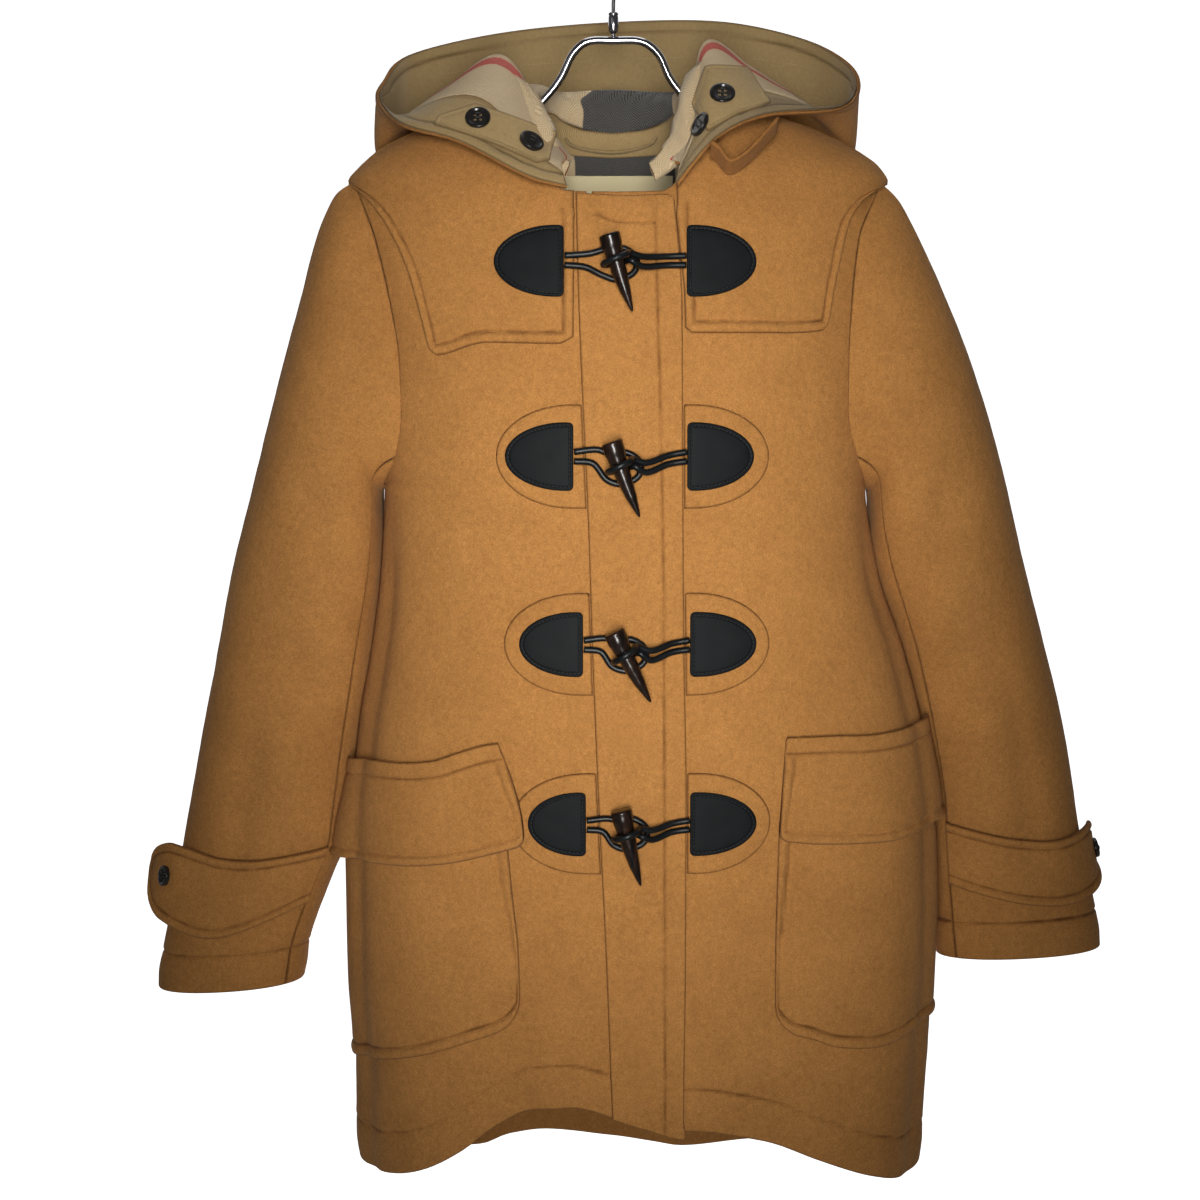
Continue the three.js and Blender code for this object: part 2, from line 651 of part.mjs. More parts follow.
// Creases of the sleeves: where along and round, how long, wide and deep
const SLEEVE_FOLDS = [
  { s: 0.34, turn: 95, long: 0.05, wide: 30, depth: -4 },
  { s: 0.46, turn: 120, long: 0.05, wide: 35, depth: 4 },
  { s: 0.56, turn: 110, long: 0.05, wide: 40, depth: -5 },
  { s: 0.66, turn: 100, long: 0.05, wide: 35, depth: 4 },
  { s: 0.75, turn: 75, long: 0.13, wide: 12, depth: -5 },
  { s: 0.4, turn: 270, long: 0.06, wide: 35, depth: -4 },
  { s: 0.55, turn: 255, long: 0.06, wide: 35, depth: 4 },
  { s: 0.66, turn: 265, long: 0.06, wide: 35, depth: -5 },
];

// Turn 0 is the sleeve's outer edge, 90 degrees its front, 180 its inner edge and 270 its back
function sleevePoint(side, turn, s) {
  const table = side === RIGHT ? SLEEVE_RIGHT : SLEEVE_LEFT;
  const section = (at) => {
    const out = vec(read(table, 'outX', at), 0, read(table, 'outZ', at));
    const inn = vec(read(table, 'inX', at), 0, read(table, 'inZ', at));
    const c = Math.cos(turn);
    const d = Math.sin(turn);
    const g = (Math.abs(c) ** SLEEVE_ROUND + Math.abs(d) ** SLEEVE_ROUND) ** (-1 / SLEEVE_ROUND);
    const middle = out.clone().add(inn).multiplyScalar(0.5);
    const p = middle.addScaledVector(out.sub(inn), 0.5 * c * g);
    let grow = 0;
    for (const fold of SLEEVE_FOLDS) {
      grow += fold.depth * bump(at - fold.s, fold.long) * bump(turn / DEG - fold.turn, fold.wide);
    }
    p.y = read(table, 'midY', at) - (read(table, 'deep', at) + grow) * d * g;
    return p;
  };
  const start = armholePoint(side, turn);
  start.x += side * SLEEVE_GAP * (1 + ((1 - Math.cos(turn)) / 2) ** 2);
  const away = section(0);
  const high = ((1 + Math.cos(turn)) / 2) ** 0.7;
  const rest = 1 - smooth(s, 0, lerp(0.045, 0.26, high));
  return section(s).addScaledVector(start.sub(away), rest);
}

function armholePoint(side, turn) {
  const top = TIP_Z + 1;
  const low = ARMPIT_Z - 1;
  const z = (top + low) / 2 + ((top - low) / 2) * Math.cos(turn);
  const back = Math.sin(turn) < 0;
  const cut = armCut(side, back, clamp(z, ARMPIT_Z + 0.5, TIP_Z - 0.5));
  if (side === RIGHT) return body(back ? Math.PI - cut : Math.PI + cut, z);
  return body(back ? cut : 2 * Math.PI - cut, z);
}

function armholeNormal(side, turn) {
  const p = armholePoint(side, turn);
  const step = 0.01;
  const angle = Math.atan2(p.y / read(BODY, p.y >= 0 ? 'back' : 'front', p.z),
    p.x / read(BODY, p.x >= 0 ? 'leftHalf' : 'rightHalf', p.z));
  const round = body(angle + step, p.z).sub(body(angle - step, p.z));
  const up = body(angle, p.z + 1).sub(body(angle, p.z - 1));
  return round.cross(up).normalize();
}

const SLEEVE_START = 0.004;
const FRONT_SEAM = 142;
const BACK_SEAM = 222;
const SLEEVE_ROWS = [
  0, 0.025, 0.06, 0.1, 0.15, 0.22, 0.3, 0.38, 0.46, 0.54, 0.62, 0.7, 0.77, 0.84, 0.92, 1,
];

// The sleeve's two pieces lie close along their seams, and wider apart only where they start
function sleeveTurn(side, fromTurn, toTurn, u, v) {
  const gap = lerp(1.1, 0.3, smooth(v, 0.03, 0.14));
  return lerp(fromTurn + gap, toTurn - gap, side === RIGHT ? 1 - u : u) * DEG;
}

function sleeveSurface(side, fromTurn, toTurn) {
  return (u, v) => {
    const turn = sleeveTurn(side, fromTurn, toTurn, u, v);
    return sleevePoint(side, (turn + 2 * Math.PI) % (2 * Math.PI), lerp(SLEEVE_START, 1, v));
  };
}

function sleeveNormals(side, fromTurn, toTurn, surface) {
  const step = 2e-3;
  return (u, v) => {
    const du = surface(u + step, v).sub(surface(u - step, v));
    const dv = surface(u, Math.min(v + step, 1)).sub(surface(u, Math.max(v - step, 0)));
    const own = du.cross(dv).normalize();
    const seam = armholeNormal(side, sleeveTurn(side, fromTurn, toTurn, u, v));
    const weight = 1 - smooth(v, 0, 0.08);
    return own.lerp(seam, weight).normalize();
  };
}

for (const side of [RIGHT, LEFT]) {
  const word = side === RIGHT ? 'right' : 'left';
  const spans = [
    ['sleeve_top', BACK_SEAM - 360, FRONT_SEAM, 11],
    ['sleeve_under', FRONT_SEAM, BACK_SEAM, 4],
  ];
  for (const [piece, from, to, cols] of spans) {
    const surface = sleeveSurface(side, from, to);
    const normals = sleeveNormals(side, from, to, surface);
    addMesh(`${piece}_${word}`, slab(surface, cols, SLEEVE_ROWS, -WOOL, 0, normals), finish.wool);
  }
}

// Cuff straps, sewn in at the front seam and buttoned round the outer edge
const STRAP = {
  columns: ['u', 'top', 'low'],
  rows: [[0, 0.8, 0.893], [0.5, 0.838, 0.928], [0.82, 0.83, 0.914], [0.92, 0.84, 0.9], [1, 0.858, 0.87]],
};
const STRAP_THICK = 3.2;
const STRAP_RISE = 1.6;
const STRAP_END = { right: { turn: 6, rise: 17 }, left: { turn: -24, rise: 7 } };

function strapSurface(side) {
  const end = side === RIGHT ? STRAP_END.right : STRAP_END.left;
  return (u, v) => {
    const w = side === RIGHT ? 1 - u : u;
    const s = lerp(read(STRAP, 'low', w), read(STRAP, 'top', w), v);
    const turn = lerp(FRONT_SEAM - 2, end.turn, w) * DEG;
    const p = sleevePoint(side, (turn + 2 * Math.PI) % (2 * Math.PI), s);
    const rise = STRAP_RISE + end.rise * smooth(w, 0.6, 1);
    const step = 0.02;
    const round = sleevePoint(side, turn + step, s).sub(sleevePoint(side, turn - step, s));
    const along = sleevePoint(side, turn, s + step).sub(sleevePoint(side, turn, s - step));
    const normal = side === RIGHT ? along.cross(round) : round.cross(along);
    return p.addScaledVector(normal.normalize(), rise);
  };
}
const STRAP_COLS = [0, 0.12, 0.24, 0.36, 0.48, 0.6, 0.72, 0.82, 0.92, 1];

const BUTTON_THICK = 3.4;
const BUTTON_LIFT = 0.5;

function buttonGeometry(radius, thick) {
  const profile = [
    [0, 0], [radius * 0.86, 0], [radius, thick * 0.35], [radius, thick * 0.75], [radius * 0.86, thick],
    [radius * 0.66, thick * 0.72], [0, thick * 0.72],
  ].map(([r, h]) => new THREE.Vector2(r, h));
  return new THREE.LatheGeometry(profile, 10);
}

// A button standing on a surface's point, its face along the normal
function addButton(name, radius, point, normal) {
  const mesh = addMesh(name, buttonGeometry(radius, BUTTON_THICK), finish.button);
  mesh.quaternion.setFromUnitVectors(vec(0, 1, 0), normal);
  mesh.position.copy(point);
}

function normalOf(surface, u, v) {
  const step = 0.01;
  const du = surface(u + step, v).sub(surface(u - step, v));
  const dv = surface(u, v + step).sub(surface(u, v - step));
  return du.cross(dv).normalize();
}

const CUFF_BUTTON = { radius: 8, right: 0.16, left: 0.86 };
for (const side of [RIGHT, LEFT]) {
  const word = side === RIGHT ? 'right' : 'left';
  const strap = strapSurface(side);
  const cols = side === RIGHT ? STRAP_COLS.map((w) => 1 - w).reverse() : STRAP_COLS;
  addMesh(`cuff_strap_${word}`, slab(strap, cols, 2, 0, STRAP_THICK), finish.wool);
  const at = side === RIGHT ? CUFF_BUTTON.right : CUFF_BUTTON.left;
  const normal = normalOf(strap, at, 0.5);
  const seat = strap(at, 0.5).addScaledVector(normal, STRAP_THICK + BUTTON_LIFT);
  addButton(`cuff_button_${word}`, CUFF_BUTTON.radius, seat, normal);
}

// Hood, lying open over the shoulders and hanging down the back. Each row is a section of it, from the
// neck seam up to the fold (r), down to its lowest stretch (b) and up or out to the rim (e)
const HOOD = {
  columns: ['neck', 'rx', 'ry', 'rz', 'bx', 'by', 'bz', 'ex', 'ey', 'ez'],
  rows: [
    [259, -38, -66, -194, -37, -73, -202, -34, -78, -212],
    [251, -52, -36, -166, -58, -63, -187, -64, -78, -204],
    [238, -82, -10, -110, -99, -44, -148, -114, -64, -178],
    [215, -115, 0, -126, -139, -20, -147, -158, -40, -163],
    [186, -140, 26, -142, -177, 30, -168, -179, 12, -138],
    [160, -116, 46, -138, -175, 76, -200, -178, 50, -119],
    [138, -88, 54, -133, -148, 110, -250, -161, 86, -94],
    [115, -52, 60, -130, -90, 126, -288, -91, 108, -74],
    [90, 0, 63, -127, 2, 136, -304, 0, 117, -64],
    [65, 54, 60, -130, 92, 127, -288, 88, 108, -65],
    [42, 90, 54, -133, 150, 110, -248, 152, 86, -82],
    [20, 118, 46, -137, 180, 76, -198, 183.5, 50, -106],
    [-6, 146, 26, -141, 179, 30, -167, 187, 14, -130],
    [-35, 128, 2, -134, 152, -12, -150, 168, -24, -149],
    [-58, 100, -4, -116, 110, -36, -140, 112, -56, -158],
    [-70, 70, -8, -100, 76, -46, -140, 78, -70, -174],
    [-76, 60, -34, -158, 59, -62, -178, 57, -77, -196],
    [-81, 49, -64, -194, 48, -71, -202, 46, -76, -210],
  ],
};
const HOOD_UP = 1.4;        // gap over the neckline's edge
const HOOD_STAND = 11;      // the hood stands up this far before it turns outwards

function hoodRow(i) {
  const get = (name) => cell(HOOD, name, i);
  const angle = get('neck') * DEG;
  const turn = Math.abs(Math.atan2(Math.sin(angle), Math.abs(Math.cos(angle))));
  const back = Math.sin(angle) > 0;
  const z = neckZ(turn, back);
  const neck = body(angle, z);
  const centre = vec(0, 0, z);
  const inward = centre.sub(neck).normalize();
  const front = smooth(turn / DEG, 50, 75) * (back ? 0 : 1);
  neck.addScaledVector(inward, WOOL + SEAM + 2.5 * front);
  neck.z += HOOD_UP + 7 * front;
  const fold = vec(get('rx'), get('ry'), get('rz'));
  const stand = neck.clone().addScaledVector(inward, 0.5 + 6 * front);
  stand.z += Math.min(HOOD_STAND, 0.6 * (fold.z - neck.z) + 6);
  return [
    neck,
    stand,
    fold,
    vec(get('bx'), get('by'), get('bz')),
    vec(get('ex'), get('ey'), get('ez')),
  ];
}

const hoodRows = HOOD.rows.map((_, i) => hoodRow(i));
const hoodLines = [0, 1, 2, 3, 4].map((k) => new THREE.CatmullRomCurve3(hoodRows.map((row) => row[k]), false,
  'catmullrom', 0.5));

// u runs from the right front edge round the back to the left front edge, v from the neck to the rim
function hood(u, v) {
  const section = hoodLines.map((line) => line.getPoint(clamp(u, 0, 1)));
  return new THREE.CatmullRomCurve3(section, false, 'centripetal').getPoint(clamp(v, 0, 1));
}

const HOOD_MIDDLE = 8 / (HOOD.rows.length - 1);
const spread = (from, to, count) => Array.from({ length: count + 1 }, (_, i) => lerp(from, to, i / count));
const RIGHT_U = spread(0, HOOD_MIDDLE, 13);
const LEFT_U = spread(HOOD_MIDDLE, 1, 15);
const LINING_V = [0, 0.14, 0.28, 0.38, 0.45, 0.5, 0.56, 0.63, 0.69, 0.735];
const FACING_V = [0.735, 0.775, 0.84, 0.92, 1];
const LINING_IN = 0.6;      // the lining hangs a little free of the wool
const shareOf = (list, edge, inset) => list.map((t, i) => (i === edge ? t + inset : t));
const HOOD_V = [...LINING_V, ...FACING_V.slice(1)];
const seamShare = 0.0008;
const rightHalf = shareOf(RIGHT_U, RIGHT_U.length - 1, -seamShare);
const leftHalf = shareOf(LEFT_U, 0, seamShare);
const bothHalves = [...RIGHT_U, ...LEFT_U.slice(1)];
addMesh('hood_right', slab(hood, rightHalf, HOOD_V, -WOOL, 0), finish.wool);
addMesh('hood_left', slab(hood, leftHalf, HOOD_V, -WOOL, 0), finish.wool);
addMesh('hood_facing', slab(hood, bothHalves, FACING_V, LINING_IN, LINING_IN + TWILL), finish.twill);
const liningV = shareOf(LINING_V, LINING_V.length - 1, -0.006);
// The lining is cut back where the hood's ends double up on themselves
const EARS = [
  { min: [-84, -52, -190], max: [-38, -6, -122] },
  { min: [26, -58, -199], max: [84, -10, -112] },
];
const earBoxes = EARS.map(({ min, max }) => (
  wasm.Manifold.cube(max.map((high, i) => high - min[i])).translate(min)));
const fullLining = toSolid(slab(hood, bothHalves, liningV, LINING_IN, LINING_IN + TWILL));
const clearLining = largest(fullLining.subtract(wasm.Manifold.union(earBoxes)));
addMesh('hood_lining', toGeometry(clearLining), finish.lining);

// Button tabs on the facing, cut from a layer that follows the hood's folds
const TAB_IN = LINING_IN + TWILL + SEAM;
const TAB = 1.4;
function hoodLayer(us) {
  return toSolid(slab(hood, us, HOOD_V.slice(7), TAB_IN, TAB_IN + TAB));
}
const rightTab = outline([
  [-133, -166], [-129, -159], [-102, -150], [-43, -171], [-47, -194], [-57, -196], [-90, -181],
]);
const leftTab = outline([
  [61, -148], [69, -173], [91, -160], [108, -154], [116, -150], [100, -120], [70, -120],
]);
addMesh('hood_tab_right', toGeometry(hoodLayer(RIGHT_U.slice(0, 8)).intersect(prism(rightTab, false, 0))),
  finish.twill);
addMesh('hood_tab_left', toGeometry(hoodLayer(LEFT_U.slice(8)).intersect(prism(leftTab, false, 0))),
  finish.twill);

// The place on the hood's inner face that shows at x, z in front view
const TAB_OUT = TAB_IN + TAB;
function hoodSpot(x, z, [fromU, toU]) {
  let best = null;
  for (const u of spread(fromU, toU, 60)) {
    for (const v of spread(0.72, 0.99, 30)) {
      const normal = normalOf(hood, u, v);
      const point = hood(u, v).addScaledVector(normal, TAB_OUT);
      const miss = Math.hypot(point.x - x, point.z - z);
      if (!best || miss < best.miss) best = { point, normal, miss };
    }
  }
  return best;
}
const HOOD_BUTTON = 9.5;
const HOOD_BUTTONS = [
  { name: 'hood_button_right_outer', x: -100, z: -161, rise: 0.3, span: [0.01, 0.2] },
  { name: 'hood_button_right_inner', x: -60, z: -178, rise: 1.2, span: [0.01, 0.2] },
  { name: 'hood_button_left_outer', x: 80, z: -141, rise: -0.2, span: [0.78, 0.99] },
  { name: 'hood_button_left_inner', x: 63, z: -166, rise: -0.1, span: [0.78, 0.99] },
];
for (const { name, x, z, rise, span } of HOOD_BUTTONS) {
  const { point, normal } = hoodSpot(x, z, span);
  addButton(name, HOOD_BUTTON, point.addScaledVector(normal, rise), normal);
}

// Throat loop: a strap of the wool that hangs from under the hood's left end
const throatPath = new THREE.CatmullRomCurve3([
  vec(70.2, 0, -184.3), vec(76, 0, -189), vec(84, 0, -198), vec(94, 0, -194), vec(121, 0, -167),
], false, 'centripetal');
const THROAT = { front: -81, back: -61, thick: 2.6 };
const throatLoop = (u, v) => throatPath.getPoint(u).setY(lerp(THROAT.front, THROAT.back, v));
addMesh('throat_loop', slab(throatLoop, 12, 1, 0, THROAT.thick), finish.wool);

// Back neck lining, blank label and neck binding, inside the back below the hood's seam
const neckCols = BACK_COLS.slice(3, -3);
const NECK_ROWS = [0.82, 0.87, 0.905, 0.93, 0.952, 0.975];
const neckLayer = (rows, from, to) => slab(backSurface, neckCols, rows, -WOOL - to, -WOOL - from);
const NECK_LINING = 0.5;
const neckInner = NECK_LINING + TWILL;
addMesh('neck_lining', neckLayer(NECK_ROWS, NECK_LINING, neckInner), finish.lining);
const labelShape = outline([[-38, -190], [-38, -235], [48, -235], [48, -190]]);
const LABEL = { from: neckInner + SEAM, to: neckInner + SEAM + 0.8 };
const labelLayer = toSolid(neckLayer(NECK_ROWS, LABEL.from, LABEL.to));
addMesh('label', toGeometry(labelLayer.intersect(prism(labelShape, true))), finish.label);

const BINDING = { from: neckInner + SEAM, to: neckInner + SEAM + TWILL };
const inBack = (x, z, depth) => {
  const p = body(angleAt(x, z, true), z);
  return p.setY(p.y - WOOL - depth);
};
const hangLoop = cord([
  inBack(-36, -161, BINDING.to + 1.2), inBack(-32, -166, BINDING.to + 2.4), inBack(0, -172, BINDING.to + 3),
  inBack(29, -165, BINDING.to + 2.4), inBack(33, -160, BINDING.to + 1.2),
], 16);
const binding = toSolid(neckLayer([0.975, 1], BINDING.from, BINDING.to));
addMesh('neck_binding', toGeometry(binding.add(toSolid(hangLoop))), finish.twill);

// Hanger: wire arms that carry the shoulders, a ferrule and a hook
function ridgeZ(x) {
  let high = -140;
  let low = -203;
  for (let k = 0; k < 30; k += 1) {
    const z = (high + low) / 2;
    if (read(BODY, x < 0 ? 'rightHalf' : 'leftHalf', z) < Math.abs(x)) high = z;
    else low = z;
  }
  return (high + low) / 2;
}
const SHOULDER_DROP = WOOL + ROD + 2;
const SHOULDER_SLOPE = 20 * DEG;
const armPoint = (x) => vec(x, 0, ridgeZ(x) - SHOULDER_DROP / Math.cos(SHOULDER_SLOPE));
const armPath = new THREE.CatmullRomCurve3([
  armPoint(-166), armPoint(-140), armPoint(-110), armPoint(-82), vec(-61, 0, -147), vec(-50, 0, -137),
  vec(-40, 0, -124), vec(-30, 0, -105), vec(-20, 0, -97), vec(0, 0, -HANG_DROP), vec(22, 0, -97),
  vec(34, 0, -106), vec(43, 0, -124), vec(53, 0, -137), vec(64, 0, -148.5), armPoint(84), armPoint(112),
  armPoint(142), armPoint(170),
], false, 'centripetal');

function rod(path, radius, sides, steps) {
  const section = new THREE.Shape();
  section.absarc(0, 0, radius, 0, 2 * Math.PI, false);
  return new THREE.ExtrudeGeometry(section, {
    steps, bevelEnabled: false, extrudePath: path, curveSegments: sides / 2,
  });
}
const HOOK_WIRE = 1.5;
const HOOK_RADIUS = 22;
const hookPoints = [];
for (let turn = 215; turn >= -50; turn -= 20) {
  const r = HOOK_RADIUS + HOOK_WIRE;
  hookPoints.push(vec(-r * Math.cos(turn * DEG), 0, -HOOK_RADIUS + r * Math.sin(turn * DEG)));
}
hookPoints.push(vec(-4, 0, -45), vec(0, 0, -53), vec(0, 0, -70), vec(0, 0, -HANG_DROP));
const hookPath = new THREE.CatmullRomCurve3(hookPoints, false, 'centripetal');
const FERRULE = { radius: 3.9, top: -75, low: -89 };
const ferrule = new THREE.CylinderGeometry(FERRULE.radius, FERRULE.radius, FERRULE.top - FERRULE.low, 12);
ferrule.rotateX(Math.PI / 2);
ferrule.translate(0, 0, (FERRULE.top + FERRULE.low) / 2);
const hanger = wasm.Manifold.union([
  toSolid(rod(armPath, ROD, 8, 32)), toSolid(rod(hookPath, HOOK_WIRE, 6, 24)), toSolid(ferrule),
]);
addMesh('hanger', toGeometry(hanger), finish.chrome);

export default coat;
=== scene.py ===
# Duffle coat on a wire hanger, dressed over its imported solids
# Lengths in the tables are millimetres in the frame of the solids; meshes are made in metres
import math
import bpy
import numpy as np
from mathutils import Matrix, Vector
from mathutils.geometry import delaunay_2d_cdt
from mathutils.kdtree import KDTree


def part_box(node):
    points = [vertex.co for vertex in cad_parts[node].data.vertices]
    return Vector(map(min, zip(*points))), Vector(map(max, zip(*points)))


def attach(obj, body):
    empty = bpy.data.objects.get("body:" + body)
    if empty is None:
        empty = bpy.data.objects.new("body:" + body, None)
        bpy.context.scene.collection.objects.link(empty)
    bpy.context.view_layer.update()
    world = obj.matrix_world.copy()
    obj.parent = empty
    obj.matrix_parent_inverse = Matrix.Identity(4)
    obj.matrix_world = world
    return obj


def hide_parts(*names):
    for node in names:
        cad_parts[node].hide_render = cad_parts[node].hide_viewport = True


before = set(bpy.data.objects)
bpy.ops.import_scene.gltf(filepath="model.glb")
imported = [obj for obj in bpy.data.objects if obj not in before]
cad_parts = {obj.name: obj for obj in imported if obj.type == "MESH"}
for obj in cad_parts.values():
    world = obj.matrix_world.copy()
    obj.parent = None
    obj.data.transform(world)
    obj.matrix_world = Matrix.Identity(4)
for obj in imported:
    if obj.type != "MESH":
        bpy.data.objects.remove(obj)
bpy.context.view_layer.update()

MM = 0.001
DEG = math.pi / 180
RIGHT, LEFT = -1, 1
WORD = {RIGHT: "right", LEFT: "left"}

# Thickness of the coat cloth, and of the pieces of other cloth and leather
WOOL = 3.0
YOKE = 2.6
POCKET = 2.6
BACKING = 1.7
STRAP_CLOTH = 3.2
THROAT_CLOTH = 2.6
TWILL = 1.2
TAB = 1.4
LABEL = 0.8
LEATHER = 1.8
SEAM = 0.3          # gap between pieces that lie on each other
ROUND = 2.5         # how square the body's level sections are; 2 would be an ellipse

# Rows of stitches: how deep they sink, and how far from its edge each piece is sewn
STITCH_DEPTH = 1.35
HEM_INSET = 33
CUFF_INSET = 30
YOKE_INSET = 8.5
FLAP_INSET = 8.5
POCKET_INSET = 9
STRAP_INSET = 7.5


# Camera, light and backdrop, as the coat was photographed; these places are in metres
LENS, SENSOR, FAR_CLIP = 65.385, 36.0, 20.0
CAMERA_AT = (-0.01014, -1.69069, -0.34547)
CAMERA_AIM = (-0.01014, 0.0, -0.52317)
LIGHTS = [
    # name, place, aim, width, height, power, colour, spread in degrees
    ("window", (0.02, -1.15, -0.42), (0.0, 0, -0.42), 0.22, 0.85, 2.0, (1.0, 0.985, 0.96), 52),
    ("fill", (-1.3, -1.8, 0.5), (0, 0, -0.5), 1.0, 1.0, 1.3, (0.97, 0.985, 1.0), 180),
    ("top", (0.0, 0.5, 1.2), (0, 0, -0.3), 1.0, 1.0, 6, (1, 1, 1), 180),
]
SURROUND = 0.07     # strength of the even light from all round


def set_camera():
    data = bpy.data.cameras.new("camera")
    data.lens = LENS
    data.sensor_width = SENSOR
    data.clip_end = FAR_CLIP
    camera = bpy.data.objects.new("camera", data)
    bpy.context.scene.collection.objects.link(camera)
    place, aim = Vector(CAMERA_AT), Vector(CAMERA_AIM)
    camera.location = place
    camera.rotation_euler = (aim - place).to_track_quat("-Z", "Y").to_euler()
    bpy.context.scene.camera = camera


def add_light(name, place, aim, wide, tall, power, colour, spread):
    data = bpy.data.lights.new(name, "AREA")
    data.shape = "RECTANGLE"
    data.size = wide
    data.size_y = tall
    data.energy = power
    data.spread = spread * DEG
    data.color = colour
    light = bpy.data.objects.new(name, data)
    light.location = place
    light.rotation_euler = (Vector(aim) - Vector(place)).to_track_quat("-Z", "Y").to_euler()
    bpy.context.scene.collection.objects.link(light)


def set_light():
    """A tall soft light from the front, a weaker one across, one from above, and a dim surround."""
    for row in LIGHTS:
        add_light(*row)
    world = bpy.data.worlds.new("studio")
    world.use_nodes = True
    back = world.node_tree.nodes["Background"]
    back.inputs["Color"].default_value = (1, 1, 1, 1)
    back.inputs["Strength"].default_value = SURROUND
    bpy.context.scene.world = world
    bpy.context.scene.view_settings.view_transform = "Standard"


def add_floor():
    """A pale floor below the hanging coat and a lit white screen behind it."""
    low, high, wide, near, far = -2.45, 2.4, 4.0, -4.0, 3.2
    bpy.ops.object.select_all(action="DESELECT")
    bpy.ops.mesh.primitive_plane_add(size=1, location=(0, (near + far) / 2, low))
    floor = bpy.context.active_object
    floor.name = "studio_floor"
    floor.scale = (2 * wide, far - near, 1)
    bpy.ops.object.transform_apply(location=False, rotation=False, scale=True)
    floor.data.materials.append(paper)
    bpy.ops.object.select_all(action="DESELECT")
    bpy.ops.mesh.primitive_plane_add(size=1, location=(0, far, (low + high) / 2),
                                     rotation=(90 * DEG, 0, 0))
    screen = bpy.context.active_object
    screen.name = "studio_screen"
    screen.scale = (2 * wide, high - low, 1)
    bpy.ops.object.transform_apply(location=False, rotation=True, scale=True)
    screen.data.materials.append(screen_white)


# Smooth curves through tables, flat where they turn, and the small sums that shapes are made with
def curve(pairs):
    """A function that reads a smooth line through (place, value) pairs."""
    pairs = sorted(pairs)
    at = np.array([p[0] for p in pairs], float)
    value = np.array([p[1] for p in pairs], float)
    chord = np.diff(value) / np.diff(at)
    slope = np.empty(len(at))
    slope[0], slope[-1] = chord[0], chord[-1]
    before, after = chord[:-1], chord[1:]
    same = before * after > 0
    slope[1:-1] = np.where(same, 2 * before * after / np.where(same, before + after, 1), 0)

    def read(x):
        x = np.clip(np.asarray(x, float), at[0], at[-1])
        i = np.clip(np.searchsorted(at, x, side="right") - 1, 0, len(at) - 2)
        span = at[i + 1] - at[i]
        t = (x - at[i]) / span
        t2, t3 = t * t, t * t * t
        return ((2 * t3 - 3 * t2 + 1) * value[i] + (t3 - 2 * t2 + t) * span * slope[i]
                + (3 * t2 - 2 * t3) * value[i + 1] + (t3 - t2) * span * slope[i + 1])

    return read


def columns(table):
    """A curve for each column of a table, by its first column."""
    return [curve([(row[0], row[k]) for row in table]) for k in range(1, len(table[0]))]


def smooth(x, low, high):
    """A soft step from 0 at low to 1 at high."""
    t = np.clip((x - low) / (high - low), 0, 1)
    return t * t * (3 - 2 * t)


def bump(x, width):
    """A soft hill, 1 at x = 0."""
    return np.exp(-(x * x) / (width * width))


def mix(a, b, t):
    return a + (b - a) * t


def unit(v):
    return v / np.maximum(np.linalg.norm(v, axis=-1, keepdims=True), 1e-9)


# Body of the coat: half widths and depths of its level sections
BODY = [
    # z, right half, left half, front, back
    (-140, 62, 64, 9, 42), (-145, 80, 84, 16, 50), (-152, 104, 110, 23, 57), (-160, 129, 134, 29, 62),
    (-170, 154, 160, 37, 66), (-182, 177, 184, 46, 70), (-193, 190, 199, 54, 73), (-204, 199, 206, 60, 75),
    (-225, 200, 208, 69, 77), (-250, 194, 206, 75, 79), (-293, 188, 201, 81, 81), (-337, 183, 198, 86, 82),
    (-374, 180, 196, 89, 82), (-430, 177, 195, 92, 82), (-500, 180, 206, 94, 82), (-560, 188, 226, 96, 83),
    (-620, 199, 241, 97, 85), (-700, 205, 249, 98, 88), (-850, 204, 250.5, 99, 92),
    (-925, 204, 246.5, 98, 94), (-1000, 197, 242, 96, 95),
]
body_right, body_left, body_front, body_back = columns(BODY)

BODY_FOLDS = [
    # angle, width, depth, top, bottom
    (204, 7, -5, -420, -640), (228, 10, 4, -520, -960), (247, 7, -5, -700, -1000), (258, 6, 5, -780, -1000),
    (300, 9, -5, -620, -1000), (318, 9, 5, -480, -1000), (338, 6, -4, -420, -620), (38, 9, -6, -420, -1000),
    (62, 10, 5, -520, -1000), (92, 10, -7, -480, -1000), (122, 10, 5, -560, -1000), (146, 9, -6, -420, -1000),
]


def fold_depth(angle, z):
    """How far the skirt's upright folds lift the cloth; a fold grows to its full depth half way down."""
    total = 0.0
    for at, width, depth, top, bottom in BODY_FOLDS:
        grow = smooth(-z, -top, (-top - bottom) / 2)
        total = total + depth * grow * bump(angle / DEG - at, width)
    return total


def body(angle, z):
    """Point on the cloth at an angle round the coat: 0 is its left side, 90 its back."""
    c, s = np.cos(angle), np.sin(angle)
    half = np.where(c >= 0, body_left(z), body_right(z))
    depth = np.where(s >= 0, body_back(z), body_front(z))
    g = (np.abs(c) ** ROUND + np.abs(s) ** ROUND) ** (-1 / ROUND)
    grow = 1 + fold_depth(angle, z) / np.hypot(half * c * g, depth * s * g)
    return np.stack([half * c * g * grow, depth * s * g * grow, z + 0 * c], -1)


def body_normal(angle, z):
    turn, rise = 0.02, 3
    across = body(angle + turn, z) - body(angle - turn, z)
    up = body(angle, z + rise) - body(angle, z - rise)
    return unit(np.cross(across, up))


